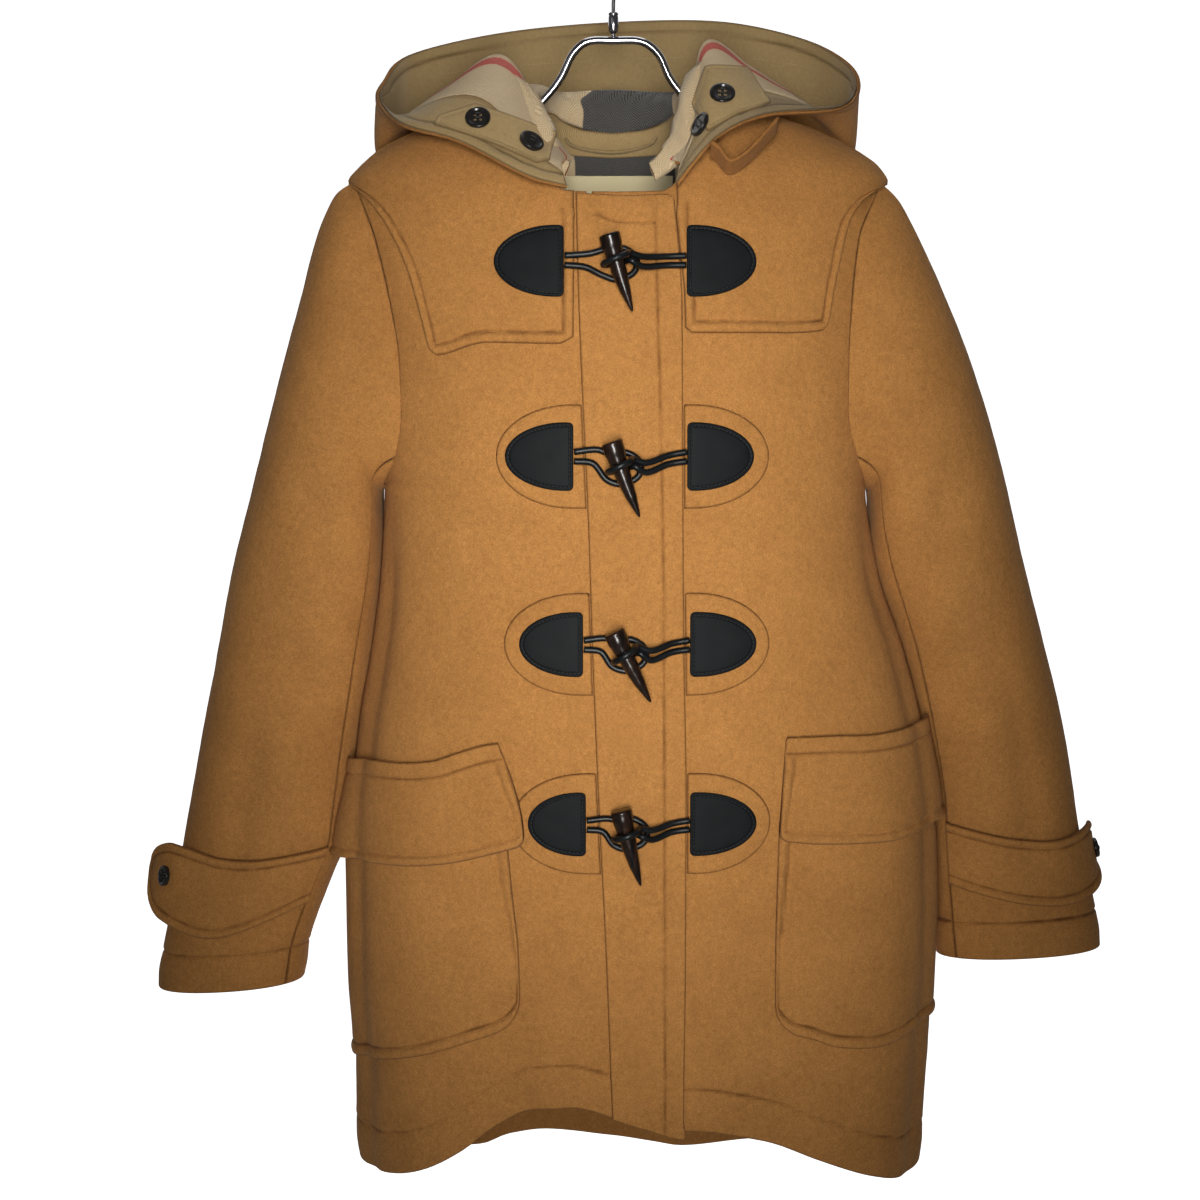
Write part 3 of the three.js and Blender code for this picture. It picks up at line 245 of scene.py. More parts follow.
def angle_at(x, z, back=False):
    """Angle round the coat of a place seen at x, z from the front, or from the front through to the back."""
    x = np.asarray(x, float)
    half = np.where(x >= 0, body_left(z), body_right(z))
    q = np.minimum(np.abs(x) / half, 1)
    turn = np.arctan2((1 - q ** ROUND) ** (1 / ROUND), q)
    if back:
        return np.where(x >= 0, turn, math.pi - turn)
    return np.where(x >= 0, 2 * math.pi - turn, math.pi + turn)


def over(x, z, height=0.0):
    """Points over the coat's front at x, z, a height above the cloth."""
    z = np.asarray(z, float)
    angle = angle_at(x, z)
    return body(angle, z) + body_normal(angle, z) * np.asarray(height, float)[..., None]


ARMHOLE = [
    # z, right front, left front, right back, left back
    (-200, 198, 204, 198, 204), (-215, 191, 197, 193, 199), (-247, 179, 184, 183, 189),
    (-293, 168, 179, 172, 181), (-337, 161, 177, 163, 176), (-374, 160, 177, 160, 175),
    (-405, 164, 184, 162, 180), (-425, 172, 192, 171, 191), (-432, 177, 195, 177, 195),
]
armhole_columns = columns(ARMHOLE)
TIP_Z, ARMPIT_Z = -203, -430


def arm_cut(side, back, z):
    """Angle from the side seam to the armhole's edge at a level; 0 above and below the armhole."""
    z = np.asarray(z, float)
    x = armhole_columns[(0 if side == RIGHT else 1) + (2 if back else 0)](z)
    half = body_right(z) if side == RIGHT else body_left(z)
    q = np.minimum(x / half, 1)
    cut = np.arctan2((1 - q ** ROUND) ** (1 / ROUND), q)
    return np.where((z > TIP_Z) | (z < ARMPIT_Z), 0, cut)


NECK = [
    # turn, front, back
    (0, -140, -140), (35, -145, -141), (55, -156, -144), (66, -172, -149), (74, -192, -154), (80, -213, -157),
    (100, -214, -161),
]
neck_front, neck_back = columns(NECK)


def neck_z(turn, back):
    """Level of the neck edge, by how far round from the side."""
    turn = np.minimum(turn, math.pi - turn) / DEG
    return neck_back(turn) if back else neck_front(turn)


HEM = [
    # x, front, back
    (-208, -962, -966), (-190, -966, -975), (-165, -961, -986), (-140, -952, -992), (-111, -935, -993),
    (-86, -915, -985), (-55, -899, -981), (-31, -897, -982), (0, -906, -985), (35, -917, -992),
    (58, -917, -996), (111, -927, -990), (155, -945, -984), (199, -962, -978), (230, -971, -974),
    (250, -965, -968),
]
hem_front, hem_back = columns(HEM)

PLACKET = [
    # z, right edge, left edge
    (-216, -28, 44), (-294, -26, 50), (-367, -23, 50.5), (-454, -19, 51), (-550, -16, 52), (-662, -11.5, 54),
    (-776, -6, 54), (-906, -1, 53), (-925, 0, 56),
]
placket_right, placket_left = columns(PLACKET)

# Between these rests a panel's levels are true; beyond them they are drawn to the neck edge and the hem
HEM_REST, NECK_REST, TOP_Z, LOW_Z = -850, -235, -140, -1000


def panel_z(turn, x, level, back):
    up = np.clip((level - NECK_REST) / (TOP_Z - NECK_REST), 0, 1)
    down = np.clip((HEM_REST - level) / (HEM_REST - LOW_Z), 0, 1)
    hem = hem_back(x) if back else hem_front(x)
    z = mix(level, mix(NECK_REST, neck_z(turn, back), up), level > NECK_REST)
    return mix(z, mix(HEM_REST, hem, down), level < HEM_REST)


def front_angle(side, turn):
    """Angle round the coat of a place on one side's front, from how far round it is from the side seam."""
    return math.pi + turn if side == RIGHT else 2 * math.pi - turn


def front_turn(side, x, level):
    """How far round from the side seam the front passes through x."""
    angle = angle_at(x, np.minimum(level, -200.0))
    return angle - math.pi if side == RIGHT else 2 * math.pi - angle


def on_panel(side, turn, level):
    """Point and outward direction on the front of one side."""
    way = front_angle(side, turn)
    x = body(way, level)[..., 0]
    z = panel_z(turn, x, level, False)
    return body(way, z), body_normal(way, z)


def on_back(turn, level):
    x = body(turn, level)[..., 0]
    z = panel_z(turn, x, level, True)
    return body(turn, z), body_normal(turn, z)


# Meshes: a wall of cloth over a grid of points, its edges rounded and its stitching pressed in
def gaps(points, axis):
    """Length along each line of a grid, from 0 at its start."""
    step = np.linalg.norm(np.diff(points, axis=axis), axis=-1)
    start = np.zeros_like(np.take(step, [0], axis=axis))
    return np.concatenate([start, np.cumsum(step, axis=axis)], axis=axis)


def side_distances(points):
    """Distances in the cloth from the grid's first and last column and first and last row."""
    along = gaps(points, 1)
    up = gaps(points, 0)
    return {"left": along, "right": along[:, -1:] - along, "low": up, "high": up[-1:, :] - up}


def ruled(length, step, dense=(), edge=(0.25, 0.8, 1.6, 2.6)):
    """Places 0 to 1 along a piece: even steps, closer at both ends and round each (place, reach, step)."""
    marks = list(np.linspace(0, length, max(2, int(round(length / step)) + 1)))
    for place, reach, fine in dense:
        marks = [m for m in marks if abs(m - place) > reach or m in (0, length)]
        marks += list(np.arange(place - reach, place + reach + fine / 2, fine))
    marks += [m for d in edge for m in (d, length - d)]
    marks = sorted(m for m in marks if 0 <= m <= length)
    kept = [0.0]
    for m in marks:
        if m - kept[-1] > 0.2:
            kept.append(float(m))
    kept[-1] = length
    return np.array(kept) / length


def link_mesh(name, points, faces, uv, finish, node=None, angle=None):
    """A mesh from points in millimetres; a piece that stands for a solid of its name is called finished."""
    name = f"finished_{name}" if name == node else name
    mesh = bpy.data.meshes.new(name)
    mesh.from_pydata((np.asarray(points) * MM).tolist(), [], faces)
    layer = mesh.uv_layers.new(name="cut")
    corner = np.empty(len(mesh.loops), dtype=np.int32)
    mesh.loops.foreach_get("vertex_index", corner)
    layer.data.foreach_set("uv", (np.asarray(uv)[corner] * MM).ravel().astype(np.float32))
    mesh.materials.append(finish)
    mesh.validate()
    mesh.shade_smooth()
    piece = bpy.data.objects.new(name, mesh)
    bpy.context.scene.collection.objects.link(piece)
    if angle:
        bpy.ops.object.select_all(action="DESELECT")
        piece.select_set(True)
        bpy.context.view_layer.objects.active = piece
        bpy.ops.object.shade_smooth_by_angle(angle=angle * DEG)
    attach(piece, "root")
    if node:
        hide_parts(*([node] if isinstance(node, str) else node))
    return piece


# Painted shade of a finish: how dark it gets in a stitched groove, from a depth on and over a range, at a
# rim, and on the inner face
SHADE_FROM_DEPTH, SHADE_DEPTH_RANGE = 0.45, 1.3
RIM_SHADE, RIM_NEAR, RIM_FAR = 0.75, 0.25, 1.7
INNER_SHADE = 0.3
SOFT_RIM = 2.0      # relief fades out over this much of a wall's edge


def shell(node, points, normals, thick, base, finish, relief, under=0.0, seam=None, from_middle=False):
    """A closed wall over a grid of points; relief moves its outer face and under its inner one. It also keeps
    painted shade: darker in stitched grooves (from relief, or seam when given), at its rim and on its inner
    face.
    """
    rows, cols = points.shape[:2]
    radius = thick / 2
    away = side_distances(points)
    near = np.minimum.reduce(list(away.values()))
    deep = np.minimum(near, radius)
    bulge = np.sqrt(np.maximum(radius ** 2 - (radius - deep) ** 2, 0))
    soft = np.minimum(near / SOFT_RIM, 1)
    outer = points + normals * (base + radius + bulge + relief * soft)[..., None]
    inner = points + normals * (base + radius - bulge + under * soft)[..., None]
    number = np.arange(rows * cols).reshape(rows, cols)
    other = number.copy()
    inside = near > 1e-6
    other[inside] = rows * cols + np.arange(inside.sum())
    every = np.concatenate([outer.reshape(-1, 3), inner[inside]])
    across = (away["left"] - away["right"]) / 2 if from_middle else away["left"]
    uv = np.stack([across, away["low"]], -1)
    uv = np.concatenate([uv.reshape(-1, 2), uv[inside]])
    faces = []
    a, b, c, d = number[:-1, :-1], number[:-1, 1:], number[1:, 1:], number[1:, :-1]
    faces += np.stack([a, b, c, d], -1).reshape(-1, 4).tolist()
    a, b, c, d = other[:-1, :-1], other[:-1, 1:], other[1:, 1:], other[1:, :-1]
    faces += np.stack([a, d, c, b], -1).reshape(-1, 4).tolist()
    piece = link_mesh(node, every, faces, uv, finish, node)
    # Painted shade: darker in stitched grooves (from relief, or seam when given), near the rim and on the
    # whole inner face
    sunk = np.clip((-relief * soft - SHADE_FROM_DEPTH) / SHADE_DEPTH_RANGE, 0, 1) if seam is None else seam
    rim = RIM_SHADE * (1 - smooth(near, RIM_NEAR, RIM_FAR))
    shade = np.concatenate([np.maximum(sunk, rim).ravel(), np.full(int(inside.sum()), INNER_SHADE)])
    mark_painted_shade(piece, shade)
    return piece


def mark_painted_shade(piece, shade):
    """Keep each point's painted shade, darker in stitched grooves, at rims and on inner faces, for the finish
    to darken its colour with.
    """
    layer = piece.data.attributes.new("groove", "FLOAT", "POINT")
    layer.data.foreach_set("value", shade.astype(np.float32))


# Cloth's unevenness: how many waves are summed, their usual peak, their lengths and their shift
WAVES, WAVE_PEAK = 7, 1.5
SHORTEST, LONGEST, PHASE = 1.2, 3.2, 6.3


def waves(points, scale, seed):
    """Soft unevenness of cloth, from -1 to 1, with bumps about scale millimetres wide."""
    rng = np.random.default_rng(seed)
    total = 0.0
    for _ in range(WAVES):
        way = unit(rng.normal(size=3))
        length = scale * rng.uniform(SHORTEST, LONGEST)
        total = total + np.sin(points @ way * (2 * math.pi / length) + rng.uniform(0, PHASE))
    return total / WAVES ** 0.5 / WAVE_PEAK


def stitched(distance, inset, points, depth, width, puff, seed):
    """A row of stitches that far from an edge: a groove, with the cloth puffed up beside it and puckered."""
    groove = -depth * bump(distance - inset, width)
    lift = puff * bump(distance - inset * 0.48, max(inset * 0.36, 1))
    pucker = 0.3 * waves(points, 7, seed) * bump(distance - inset, 6)
    return groove + lift + pucker


# Finishes
def new_finish(name):
    material = bpy.data.materials.new(name)
    material.use_nodes = True
    tree = material.node_tree
    return material, tree, tree.nodes["Principled BSDF"]


def ramp(tree, source, low, high, low_colour, high_colour):
    """A colour that goes from one to another while source goes from low to high."""
    node = tree.nodes.new("ShaderNodeMapRange")
    node.inputs["From Min"].default_value = low
    node.inputs["From Max"].default_value = high
    tree.links.new(source, node.inputs["Value"])
    blend = tree.nodes.new("ShaderNodeMix")
    blend.data_type = "RGBA"
    blend.inputs["A"].default_value = (*low_colour, 1)
    blend.inputs["B"].default_value = (*high_colour, 1)
    tree.links.new(node.outputs["Result"], blend.inputs["Factor"])
    return blend.outputs["Result"]


def noise(tree, where, scale, detail=3, rough=0.55, stretch=None):
    if stretch:
        node = tree.nodes.new("ShaderNodeMapping")
        node.inputs["Scale"].default_value = stretch
        tree.links.new(where, node.inputs["Vector"])
        where = node.outputs["Vector"]
    node = tree.nodes.new("ShaderNodeTexNoise")
    node.inputs["Scale"].default_value = scale
    node.inputs["Detail"].default_value = detail
    node.inputs["Roughness"].default_value = rough
    tree.links.new(where, node.inputs["Vector"])
    return node.outputs["Fac"]


def maths(tree, kind, a, b=None):
    """A math node on one or two values, each a number or a socket."""
    node = tree.nodes.new("ShaderNodeMath")
    node.operation = kind
    for socket, value in zip(node.inputs, (a, b)):
        if value is None:
            continue
        if isinstance(value, (int, float)):
            socket.default_value = value
        else:
            tree.links.new(value, socket)
    return node.outputs["Value"]


def blend_colour(tree, how, factor, a, b):
    node = tree.nodes.new("ShaderNodeMix")
    node.data_type = "RGBA"
    node.blend_type = how
    for name, value in (("Factor", factor), ("A", a), ("B", b)):
        socket = [s for s in node.inputs if s.name == name and s.enabled][0]
        if isinstance(value, tuple):
            socket.default_value = (*value, 1)
        elif isinstance(value, (int, float)):
            socket.default_value = value
        else:
            tree.links.new(value, socket)
    return node.outputs["Result"]


def raise_bump(tree, shader, height, distance, strength):
    node = tree.nodes.new("ShaderNodeBump")
    node.inputs["Distance"].default_value = distance
    node.inputs["Strength"].default_value = strength
    tree.links.new(height, node.inputs["Height"])
    tree.links.new(node.outputs["Normal"], shader.inputs["Normal"])


def object_place(tree):
    return tree.nodes.new("ShaderNodeTexCoord").outputs["Object"]


def cut_axes(tree):
    """Metres across and up the piece's own cut."""
    node = tree.nodes.new("ShaderNodeUVMap")
    node.uv_map = "cut"
    split = tree.nodes.new("ShaderNodeSeparateXYZ")
    tree.links.new(node.outputs["UV"], split.inputs["Vector"])
    return split.outputs["X"], split.outputs["Y"]


def summed(tree, a, part_a, b, part_b):
    """Sum of two values, each times its part."""
    return maths(tree, "ADD", maths(tree, "MULTIPLY", a, part_a), maths(tree, "MULTIPLY", b, part_b))


def ribs(tree, along, rate):
    """Rounded ribs across a direction, from 0 to 1; rate is in radians a metre."""
    wave = maths(tree, "SINE", maths(tree, "MULTIPLY", along, rate))
    return maths(tree, "ADD", maths(tree, "MULTIPLY", wave, 0.5), 0.5)


def set_looks(shader, looks):
    """Give a finish its values by name."""
    for label, value in looks.items():
        shader.inputs[label].default_value = value


def new_group(name, inputs):
    """A shared effect: a group that takes cloth colour and more, and gives the colour changed."""
    group = bpy.data.node_groups.new(name, "ShaderNodeTree")
    for label, kind in inputs:
        group.interface.new_socket(label, in_out="INPUT", socket_type=f"NodeSocket{kind}")
    group.interface.new_socket("Colour", in_out="OUTPUT", socket_type="NodeSocketColor")
    return group, group.nodes.new("NodeGroupInput").outputs, group.nodes.new("NodeGroupOutput")


def make_painted_cloth_shade():
    """Painted shade: cloth colour multiplied towards a shadow colour by the groove attribute, in stitched
    grooves, where its edge turns under and on its inner face.
    """
    group, given, out = new_group("painted_cloth_shade", [("Cloth", "Color"), ("Shadow", "Color")])
    sunk = group.nodes.new("ShaderNodeAttribute")
    sunk.attribute_name = "groove"
    colour = blend_colour(group, "MULTIPLY", sunk.outputs["Fac"], given["Cloth"], given["Shadow"])
    group.links.new(colour, out.inputs["Colour"])
    return group


def make_faded_cloud():
    """Soft clouds of darker cloth, of the given scale, shade and strength."""
    group, given, out = new_group("faded_cloud", [("Cloth", "Color"), ("Scale", "Float"), ("Shade", "Color"),
                                                  ("Strength", "Float")])
    cloud = group.nodes.new("ShaderNodeTexNoise")
    cloud.inputs["Detail"].default_value = 3
    group.links.new(object_place(group), cloud.inputs["Vector"])
    group.links.new(given["Scale"], cloud.inputs["Scale"])
    shade = ramp(group, cloud.outputs["Fac"], 0.3, 0.7, (1, 1, 1), (1, 1, 1))
    group.links.new(given["Shade"], shade.node.inputs["A"])
    colour = blend_colour(group, "MULTIPLY", given["Strength"], given["Cloth"], shade)
    group.links.new(colour, out.inputs["Colour"])
    return group


def through_group(tree, group, colour, **values):
    """The colour after a shared effect, with this finish's own values."""
    node = tree.nodes.new("ShaderNodeGroup")
    node.node_tree = group
    tree.links.new(colour, node.inputs["Cloth"])
    for label, value in values.items():
        node.inputs[label].default_value = (*value, 1) if isinstance(value, tuple) else value
    return node.outputs["Colour"]


painted_cloth_shade = make_painted_cloth_shade()
faded_cloud = make_faded_cloud()


# Each finish's darker and paler colour, as linear red, green and blue
CAMEL = (0.320, 0.136, 0.032), (0.530, 0.254, 0.076)
MOTTLE = (0.40, 0.40, 0.40), (0.60, 0.60, 0.60)
KHAKI = (0.265, 0.175, 0.070), (0.48, 0.345, 0.165)
LINING_GROUND = (0.42, 0.30, 0.16), (0.66, 0.52, 0.33)
LINING_DARK = (0.030, 0.029, 0.028), (0.115, 0.108, 0.098)
LINING_BRICK = (0.36, 0.045, 0.03), (0.56, 0.10, 0.07)
LABEL_CLOTH = (0.60, 0.50, 0.27), (0.76, 0.66, 0.40)
BLACK_LEATHER = (0.0035, 0.0045, 0.005), (0.007, 0.0085, 0.0095)
DARK_HORN = (0.004, 0.003, 0.0025), (0.034, 0.015, 0.008)
BLACK_BUTTON = (0.006, 0.006, 0.006), (0.018, 0.015, 0.013)
CHROME = (0.40, 0.40, 0.42), (0.52, 0.52, 0.54)
BLACK_THREAD = (0.008, 0.008, 0.009), (0.022, 0.022, 0.024)
KHAKI_THREAD = (0.36, 0.26, 0.11), (0.52, 0.40, 0.20)
PAPER = (0.86, 0.86, 0.86), (0.88, 0.88, 0.88)


def make_wool():
    """Camel melton: mottled fibres, a brushed nap and a soft sheen."""
    material, tree, shader = new_finish("camel_melton")
    where = object_place(tree)
    fibre = noise(tree, where, 900, 4, 0.7)
    clump = noise(tree, where, 230, 3, 0.6)
    colour = ramp(tree, fibre, 0.30, 0.72, *CAMEL)
    colour = blend_colour(tree, "OVERLAY", 0.55, colour, ramp(tree, clump, 0.3, 0.7, *MOTTLE))
    colour = through_group(tree, faded_cloud, colour, Scale=28, Shade=(0.84, 0.82, 0.80), Strength=0.55)
    colour = through_group(tree, faded_cloud, colour, Scale=7, Shade=(0.90, 0.88, 0.86), Strength=0.5)
    # Painted shade: darker in stitched grooves, at rims and on inner faces
    colour = through_group(tree, painted_cloth_shade, colour, Shadow=(0.34, 0.27, 0.22))
    tree.links.new(colour, shader.inputs["Base Color"])
    set_looks(shader, {"Roughness": 0.93, "Specular IOR Level": 0.18, "Sheen Weight": 0.08,
                       "Sheen Roughness": 0.45, "Sheen Tint": (1.0, 0.80, 0.55, 1)})
    raise_bump(tree, shader, summed(tree, fibre, 0.6, clump, 0.9), 0.0011, 0.75)
    return material


TWILL_PITCH = 0.0011
THREAD_PITCH = 0.62 * TWILL_PITCH


def twill_weave(tree):
    """Height of a diagonal weave on the piece's own cut, from 0 to 1."""
    across, up = cut_axes(tree)
    slant = maths(tree, "ADD", across, up)
    ridge = maths(tree, "SINE", maths(tree, "MULTIPLY", slant, 2 * math.pi / TWILL_PITCH))
    thread = maths(tree, "SINE", maths(tree, "MULTIPLY", across, 2 * math.pi / THREAD_PITCH))
    return maths(tree, "ADD", summed(tree, ridge, 0.35, thread, 0.12), 0.5)


def make_twill():
    """Khaki cotton twill with uneven threads."""
    material, tree, shader = new_finish("khaki_twill")
    weave = twill_weave(tree)
    slub = noise(tree, object_place(tree), 420, 3, 0.6)
    colour = ramp(tree, summed(tree, weave, 0.6, slub, 0.4), 0.25, 0.8, *KHAKI)
    colour = through_group(tree, faded_cloud, colour, Scale=30, Shade=(0.88, 0.87, 0.84), Strength=0.5)
    # Painted shade: darker in stitched grooves, at rims and on inner faces
    colour = through_group(tree, painted_cloth_shade, colour, Shadow=(0.34, 0.28, 0.20))
    tree.links.new(colour, shader.inputs["Base Color"])
    set_looks(shader, {"Roughness": 0.78, "Specular IOR Level": 0.3, "Sheen Weight": 0.12,
                       "Sheen Roughness": 0.4})
    raise_bump(tree, shader, weave, 0.0003, 0.8)
    return material


# Places, half widths and soft edge of the lining's upright bands, in metres from the middle of the piece
DARK_AT, DARK_BAND = 0.010, 0.040
BRICK_AT, BRICK_BAND = 0.279, 0.013
BAND_EDGE = 0.0006
HERRINGBONE, LINING_RIBS = 0.006, 3100


def lining_band(tree, place, middle, half):
    """1 inside an upright band of the lining, 0 beside it."""
    away = maths(tree, "ABSOLUTE", maths(tree, "SUBTRACT", place, middle))
    node = tree.nodes.new("ShaderNodeMapRange")
    node.inputs["From Min"].default_value = half + BAND_EDGE
    node.inputs["From Max"].default_value = half - BAND_EDGE
    tree.links.new(away, node.inputs["Value"])
    return node.outputs["Result"]


def make_lining():
    """Woven wool lining: plain upright bands, one dark and two brick, on a pale herringbone ground."""
    material, tree, shader = new_finish("banded_lining")
    across, up = cut_axes(tree)
    zig = maths(tree, "PINGPONG", across, HERRINGBONE)
    weave = ribs(tree, maths(tree, "ADD", up, zig), LINING_RIBS)
    fuzz = noise(tree, object_place(tree), 700, 4, 0.65)
    ground = ramp(tree, summed(tree, weave, 0.5, fuzz, 0.5), 0.2, 0.8, *LINING_GROUND)
    dark = ramp(tree, summed(tree, weave, 0.6, fuzz, 0.4), 0.2, 0.8, *LINING_DARK)
    brick = ramp(tree, fuzz, 0.3, 0.7, *LINING_BRICK)
    aside = maths(tree, "ABSOLUTE", across)
    colour = blend_colour(tree, "MIX", lining_band(tree, across, DARK_AT, DARK_BAND), ground, dark)
    colour = blend_colour(tree, "MIX", lining_band(tree, aside, BRICK_AT, BRICK_BAND), colour, brick)
    colour = through_group(tree, faded_cloud, colour, Scale=40, Shade=(0.86, 0.85, 0.84), Strength=0.5)
    tree.links.new(colour, shader.inputs["Base Color"])
    set_looks(shader, {"Roughness": 0.92, "Specular IOR Level": 0.2, "Sheen Weight": 0.18})
    raise_bump(tree, shader, maths(tree, "ADD", weave, fuzz), 0.0004, 0.7)
    return material


def make_leather(name, grain, rough, coat, shine):
    """Black leather: fine cells, and cloudy wear that changes how rough it is."""
    material, tree, shader = new_finish(name)
    where = object_place(tree)
    cell = tree.nodes.new("ShaderNodeTexVoronoi")
    cell.inputs["Scale"].default_value = grain
    tree.links.new(where, cell.inputs["Vector"])
    cloud = noise(tree, where, 60, 3, 0.6)
    tree.links.new(ramp(tree, cloud, 0.3, 0.75, *BLACK_LEATHER), shader.inputs["Base Color"])
    roughness = tree.nodes.new("ShaderNodeMapRange")
    roughness.inputs["To Min"].default_value = rough - 0.06
    roughness.inputs["To Max"].default_value = rough + 0.10
    tree.links.new(cloud, roughness.inputs["Value"])
    tree.links.new(roughness.outputs["Result"], shader.inputs["Roughness"])
    set_looks(shader, {"Specular IOR Level": shine, "Coat Weight": coat, "Coat Roughness": 0.35})
    raise_bump(tree, shader, cell.outputs["Distance"], 0.00012, 0.6)
    return material


def make_horn():
    """Dark polished horn with long brown streaks."""
    material, tree, shader = new_finish("dark_horn")
    streak = noise(tree, object_place(tree), 260, 4, 0.6, (1.6, 1.6, 0.12))
    colour = ramp(tree, streak, 0.35, 0.75, *DARK_HORN)
    colour = through_group(tree, faded_cloud, colour, Scale=90, Shade=(0.35, 0.30, 0.28), Strength=0.7)
    tree.links.new(colour, shader.inputs["Base Color"])
    set_looks(shader, {"Roughness": 0.26, "Specular IOR Level": 0.3, "Coat Weight": 0.15,
                       "Coat Roughness": 0.15})
    raise_bump(tree, shader, streak, 0.0002, 0.35)
    return material


def make_plain(name, colours, rough, scale, metal=0.0, depth=0.0001):
    """A plain finish with a fine grain."""
    material, tree, shader = new_finish(name)
    grain = noise(tree, object_place(tree), scale, 3, 0.6)
    tree.links.new(ramp(tree, grain, 0.3, 0.7, *colours), shader.inputs["Base Color"])
    set_looks(shader, {"Roughness": rough, "Metallic": metal})
    raise_bump(tree, shader, grain, depth, 0.4)
    return material


def make_label():
    """Finely ribbed pale cloth."""
    material, tree, shader = new_finish("blank_label")
    rib = ribs(tree, cut_axes(tree)[1], 7500)
    tree.links.new(ramp(tree, rib, 0, 1, *LABEL_CLOTH), shader.inputs["Base Color"])
    set_looks(shader, {"Roughness": 0.6, "Sheen Weight": 0.2})
    raise_bump(tree, shader, rib, 0.00015, 0.5)
    return material


def make_screen():
    """A lit white screen."""
    material, _, shader = new_finish("lit_screen")
    set_looks(shader, {"Base Color": (1, 1, 1, 1), "Emission Color": (1, 1, 1, 1), "Emission Strength": 1.0})
    return material


screen_white = make_screen()
paper = make_plain("studio_paper", PAPER, 0.9, 6)
camel = make_wool()
khaki = make_twill()
lining = make_lining()
label_cloth = make_label()
black_leather = make_leather("black_leather", 1500, 0.52, 0.0, 0.09)
cord_leather = make_leather("cord_leather", 1100, 0.32, 0.1, 0.2)
horn = make_horn()
button_black = make_plain("button_black", BLACK_BUTTON, 0.22, 500)
chrome_wire = make_plain("chrome_wire", CHROME, 0.14, 120, 1.0, 0.00002)
black_thread = make_plain("black_thread", BLACK_THREAD, 0.6, 3000)
khaki_thread = make_plain("khaki_thread", KHAKI_THREAD, 0.7, 3000)


# Body panels
def cloth_relief(points, seed):
    """Soft unevenness of the wool panels."""
    return 0.55 * waves(points, 60, seed) + 0.12 * waves(points, 11, seed + 1)


# Length and widths along the cloth, for even steps, and the stretch at the hem that holds its stitches
BODY_LONG, FRONT_WIDE, BACK_WIDE, HEM_ZONE = 860, 215, 560, 42
UNDER_PLACKET = {RIGHT: 8, LEFT: 12}      # how far each front goes past the placket's right edge


def add_front(side, node, seed):
    levels = LOW_Z + (TOP_Z - LOW_Z) * ruled(BODY_LONG, 4.8, dense=[(HEM_ZONE, HEM_ZONE, 2.6)])
    share = ruled(FRONT_WIDE, 3.8)
    level = np.repeat(levels[:, None], len(share), 1)
    half = body_right(level) if side == RIGHT else body_left(level)
    start = arm_cut(side, False, level) + SEAM / 2 / np.minimum(body_front(level), half)
    stop = front_turn(side, placket_right(level) + UNDER_PLACKET[side], level)
    turn = mix(start, stop, share[None, :])
    if side == LEFT:
        turn = turn[:, ::-1]
    points, normals = on_panel(side, turn, level)
    hem = side_distances(points)["low"]
    relief = cloth_relief(points, seed)
    relief = relief + stitched(hem, HEM_INSET, points, STITCH_DEPTH, 1.4, 0.9, seed + 2)
    piece = shell(node, points, normals, WOOL, -WOOL, camel, relief)


def add_back():
    levels = LOW_Z + (TOP_Z - LOW_Z) * ruled(BODY_LONG, 5.4, dense=[(HEM_ZONE, HEM_ZONE, 3.2)])
    share = ruled(BACK_WIDE, 5.4)
    level = np.repeat(levels[:, None], len(share), 1)
    gap = SEAM / 2 / body_back(level)
    start = arm_cut(LEFT, True, level) + gap
    stop = math.pi - arm_cut(RIGHT, True, level) - gap
    points, normals = on_back(mix(start, stop, share[None, :]), level)
    hem = side_distances(points)["low"]
    relief = cloth_relief(points, 21)
    relief = relief + stitched(hem, HEM_INSET, points, STITCH_DEPTH, 1.4, 0.9, 23)
    piece = shell("back", points, normals, WOOL, -WOOL, camel, relief)


def piece_stitches(points, sides, inset, seed):
    """Stitches along some sides of a piece."""
    away = side_distances(points)
    near = np.minimum.reduce([away[s] for s in sides])
    return stitched(near, inset, points, STITCH_DEPTH, 1.35, 1.3, seed)


YOKE_TOP = -144.0
SIDE_TURN = 0.004       # a yoke stops this short of the side seam, as an angle
YOKE_WIDE, YOKE_TALL, BACK_YOKE_WIDE, BACK_YOKE_TALL = 130, 185, 340, 175
YOKE_SHAPE = {
    # outer edge as (level, x), lower edge as (share across from the outer edge, z), inner edge as (level, x)
    RIGHT: ([(-334, 134), (-326, 137), (-299, 144), (-266, 154), (-240, 167), (-221, 180), (-203, 199.5)],
            [(0, -330), (0.05, -334), (0.45, -325), (0.9, -326), (1, -321)],
            [(-326, -29.5), (-216, -28.8), (-140, -28.8)]),
    LEFT: ([(-318, 156), (-308, 159), (-285, 163), (-262, 168), (-235, 175), (-218, 186), (-204, 206.5)],
           [(0, -311), (0.04, -316), (0.3, -318), (0.95, -318), (1, -314)],
           [(-318, 52), (-294, 51.5), (-222, 45.5), (-140, 45.5)]),
}


